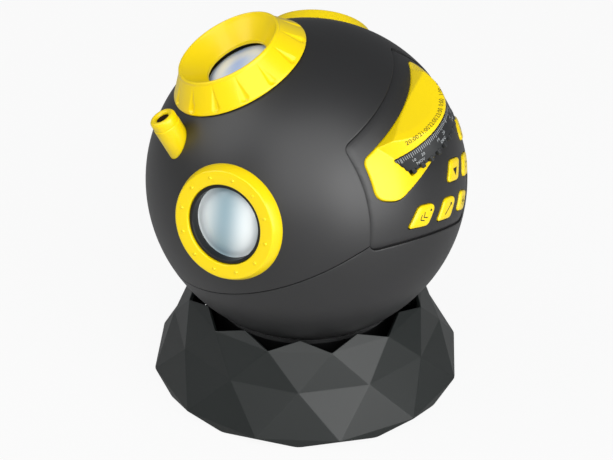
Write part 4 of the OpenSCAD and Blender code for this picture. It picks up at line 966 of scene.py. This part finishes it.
# Printed foil, shrunk round the cell: a satin blue with faint creases about 3 mm apart.
cell_wrap = new_material("blue_foil_cell_jacket")
wrap_place = add_node(cell_wrap, "TexCoord", {}, {})
wrap_crease = add_node(cell_wrap, "TexNoise", {}, {"Vector": (wrap_place, "Object"), "Scale": 1000 / 3,
                                                   "Detail": 2.0})
wrap_bump = add_node(cell_wrap, "Bump", {}, {"Height": (wrap_crease, "Fac"), "Strength": 0.2,
                                             "Distance": 0.00005})
wrap_tint = add_node(cell_wrap, "Mix", {"data_type": "RGBA"},
                     {0: (wrap_crease, "Fac"), 6: linear("2f5f9e"), 7: linear("3f74b4")})
wrap_shader = add_node(cell_wrap, "BsdfPrincipled", {},
                       {"Base Color": (wrap_tint, 2), "Roughness": 0.3, "Metallic": 0.3,
                        "Normal": (wrap_bump, "Normal")})
add_node(cell_wrap, "OutputMaterial", {}, {"Surface": (wrap_shader, "BSDF")})
# Nickel plate is a warm, bright grey.
nickel = rolled_metal("nickel_plated_spring_steel", "cfcdc6", 0.25, 0.3, 0)

dress(black_abs, "battery_box")
dress(cell_wrap, "battery_cells")
dress(nickel, "battery_contacts")
dress(soft_touch, "battery_door")
dress(zinc_steel, "door_screw")


# ---- Room ----
# A plain pale floor and soft studio light: a very large window light above the camera, a smaller and lower
# one at its right, a weak one at the left and a dim even sky. The camera stands as for the photograph.

floor_paint = new_material("white_studio_floor")
floor_ray = add_node(floor_paint, "LightPath", {}, {})
floor_diffuse = add_node(floor_paint, "BsdfDiffuse", {}, {"Color": linear("c4c4c4")})
floor_white = add_node(floor_paint, "Emission", {}, {"Color": linear("ffffff"), "Strength": 1.0})
floor_mix = add_node(floor_paint, "MixShader", {}, {0: 0.92, 1: (floor_diffuse, "BSDF"),
                                                    2: (floor_white, "Emission")})
floor_show = add_node(floor_paint, "MixShader", {}, {0: (floor_ray, "Is Camera Ray"),
                                                     1: (floor_diffuse, "BSDF"), 2: (floor_mix, "Shader")})
add_node(floor_paint, "OutputMaterial", {}, {"Surface": (floor_show, "Shader")})

floor = bmesh.new()
bmesh.ops.create_grid(floor, x_segments=1, y_segments=1, size=3.0)
floor_mesh = bpy.data.meshes.new("floor")
floor.to_mesh(floor_mesh)
floor.free()
floor_mesh.materials.append(floor_paint)
floor_piece = bpy.data.objects.new("floor", floor_mesh)
bpy.context.scene.collection.objects.link(floor_piece)

world = bpy.data.worlds.new("studio")
bpy.context.scene.world = world
world.use_nodes = True
world.node_tree.nodes.clear()
sky_ray = add_node(world, "LightPath", {}, {})
sky_light = add_node(world, "Background", {}, {"Color": linear("eef1f4"), "Strength": 0.22})
sky_white = add_node(world, "Background", {}, {"Color": linear("ffffff"), "Strength": 1.0})
sky_mix = add_node(world, "MixShader", {}, {0: (sky_ray, "Is Camera Ray"), 1: (sky_light, "Background"),
                                            2: (sky_white, "Background")})
add_node(world, "OutputWorld", {}, {"Surface": (sky_mix, "Shader")})


lights_aim = Vector((0, 0, 0.1))


def softbox(name, place, size, watts):
    """A square studio light at a place in metres, turned to the ball."""
    lamp = bpy.data.lights.new(name, "AREA")
    lamp.size = size
    lamp.energy = watts
    holder = bpy.data.objects.new(name, lamp)
    holder.location = place
    holder.rotation_euler = (lights_aim - Vector(place)).to_track_quat("-Z", "Y").to_euler()
    bpy.context.scene.collection.objects.link(holder)


softbox("window_front", (0.08, -1.22, 1.12), size=1.9, watts=21)
softbox("window_right", (1.02, -1.02, 0.46), size=1.3, watts=17)
softbox("window_left", (-1.05, -0.10, 1.0), size=1.0, watts=6)

camera = bpy.data.cameras.new("camera")
camera.sensor_width = 36
camera.lens = 112.8
camera.clip_start = 0.01
camera_piece = bpy.data.objects.new("camera", camera)
camera_piece.location = (0, -0.866, 0.614)
camera_dip = 31.53
camera_piece.rotation_euler = (math.radians(90 - camera_dip), 0, 0)
bpy.context.scene.collection.objects.link(camera_piece)
bpy.context.scene.camera = camera_piece
bpy.context.scene.view_settings.view_transform = "Standard"
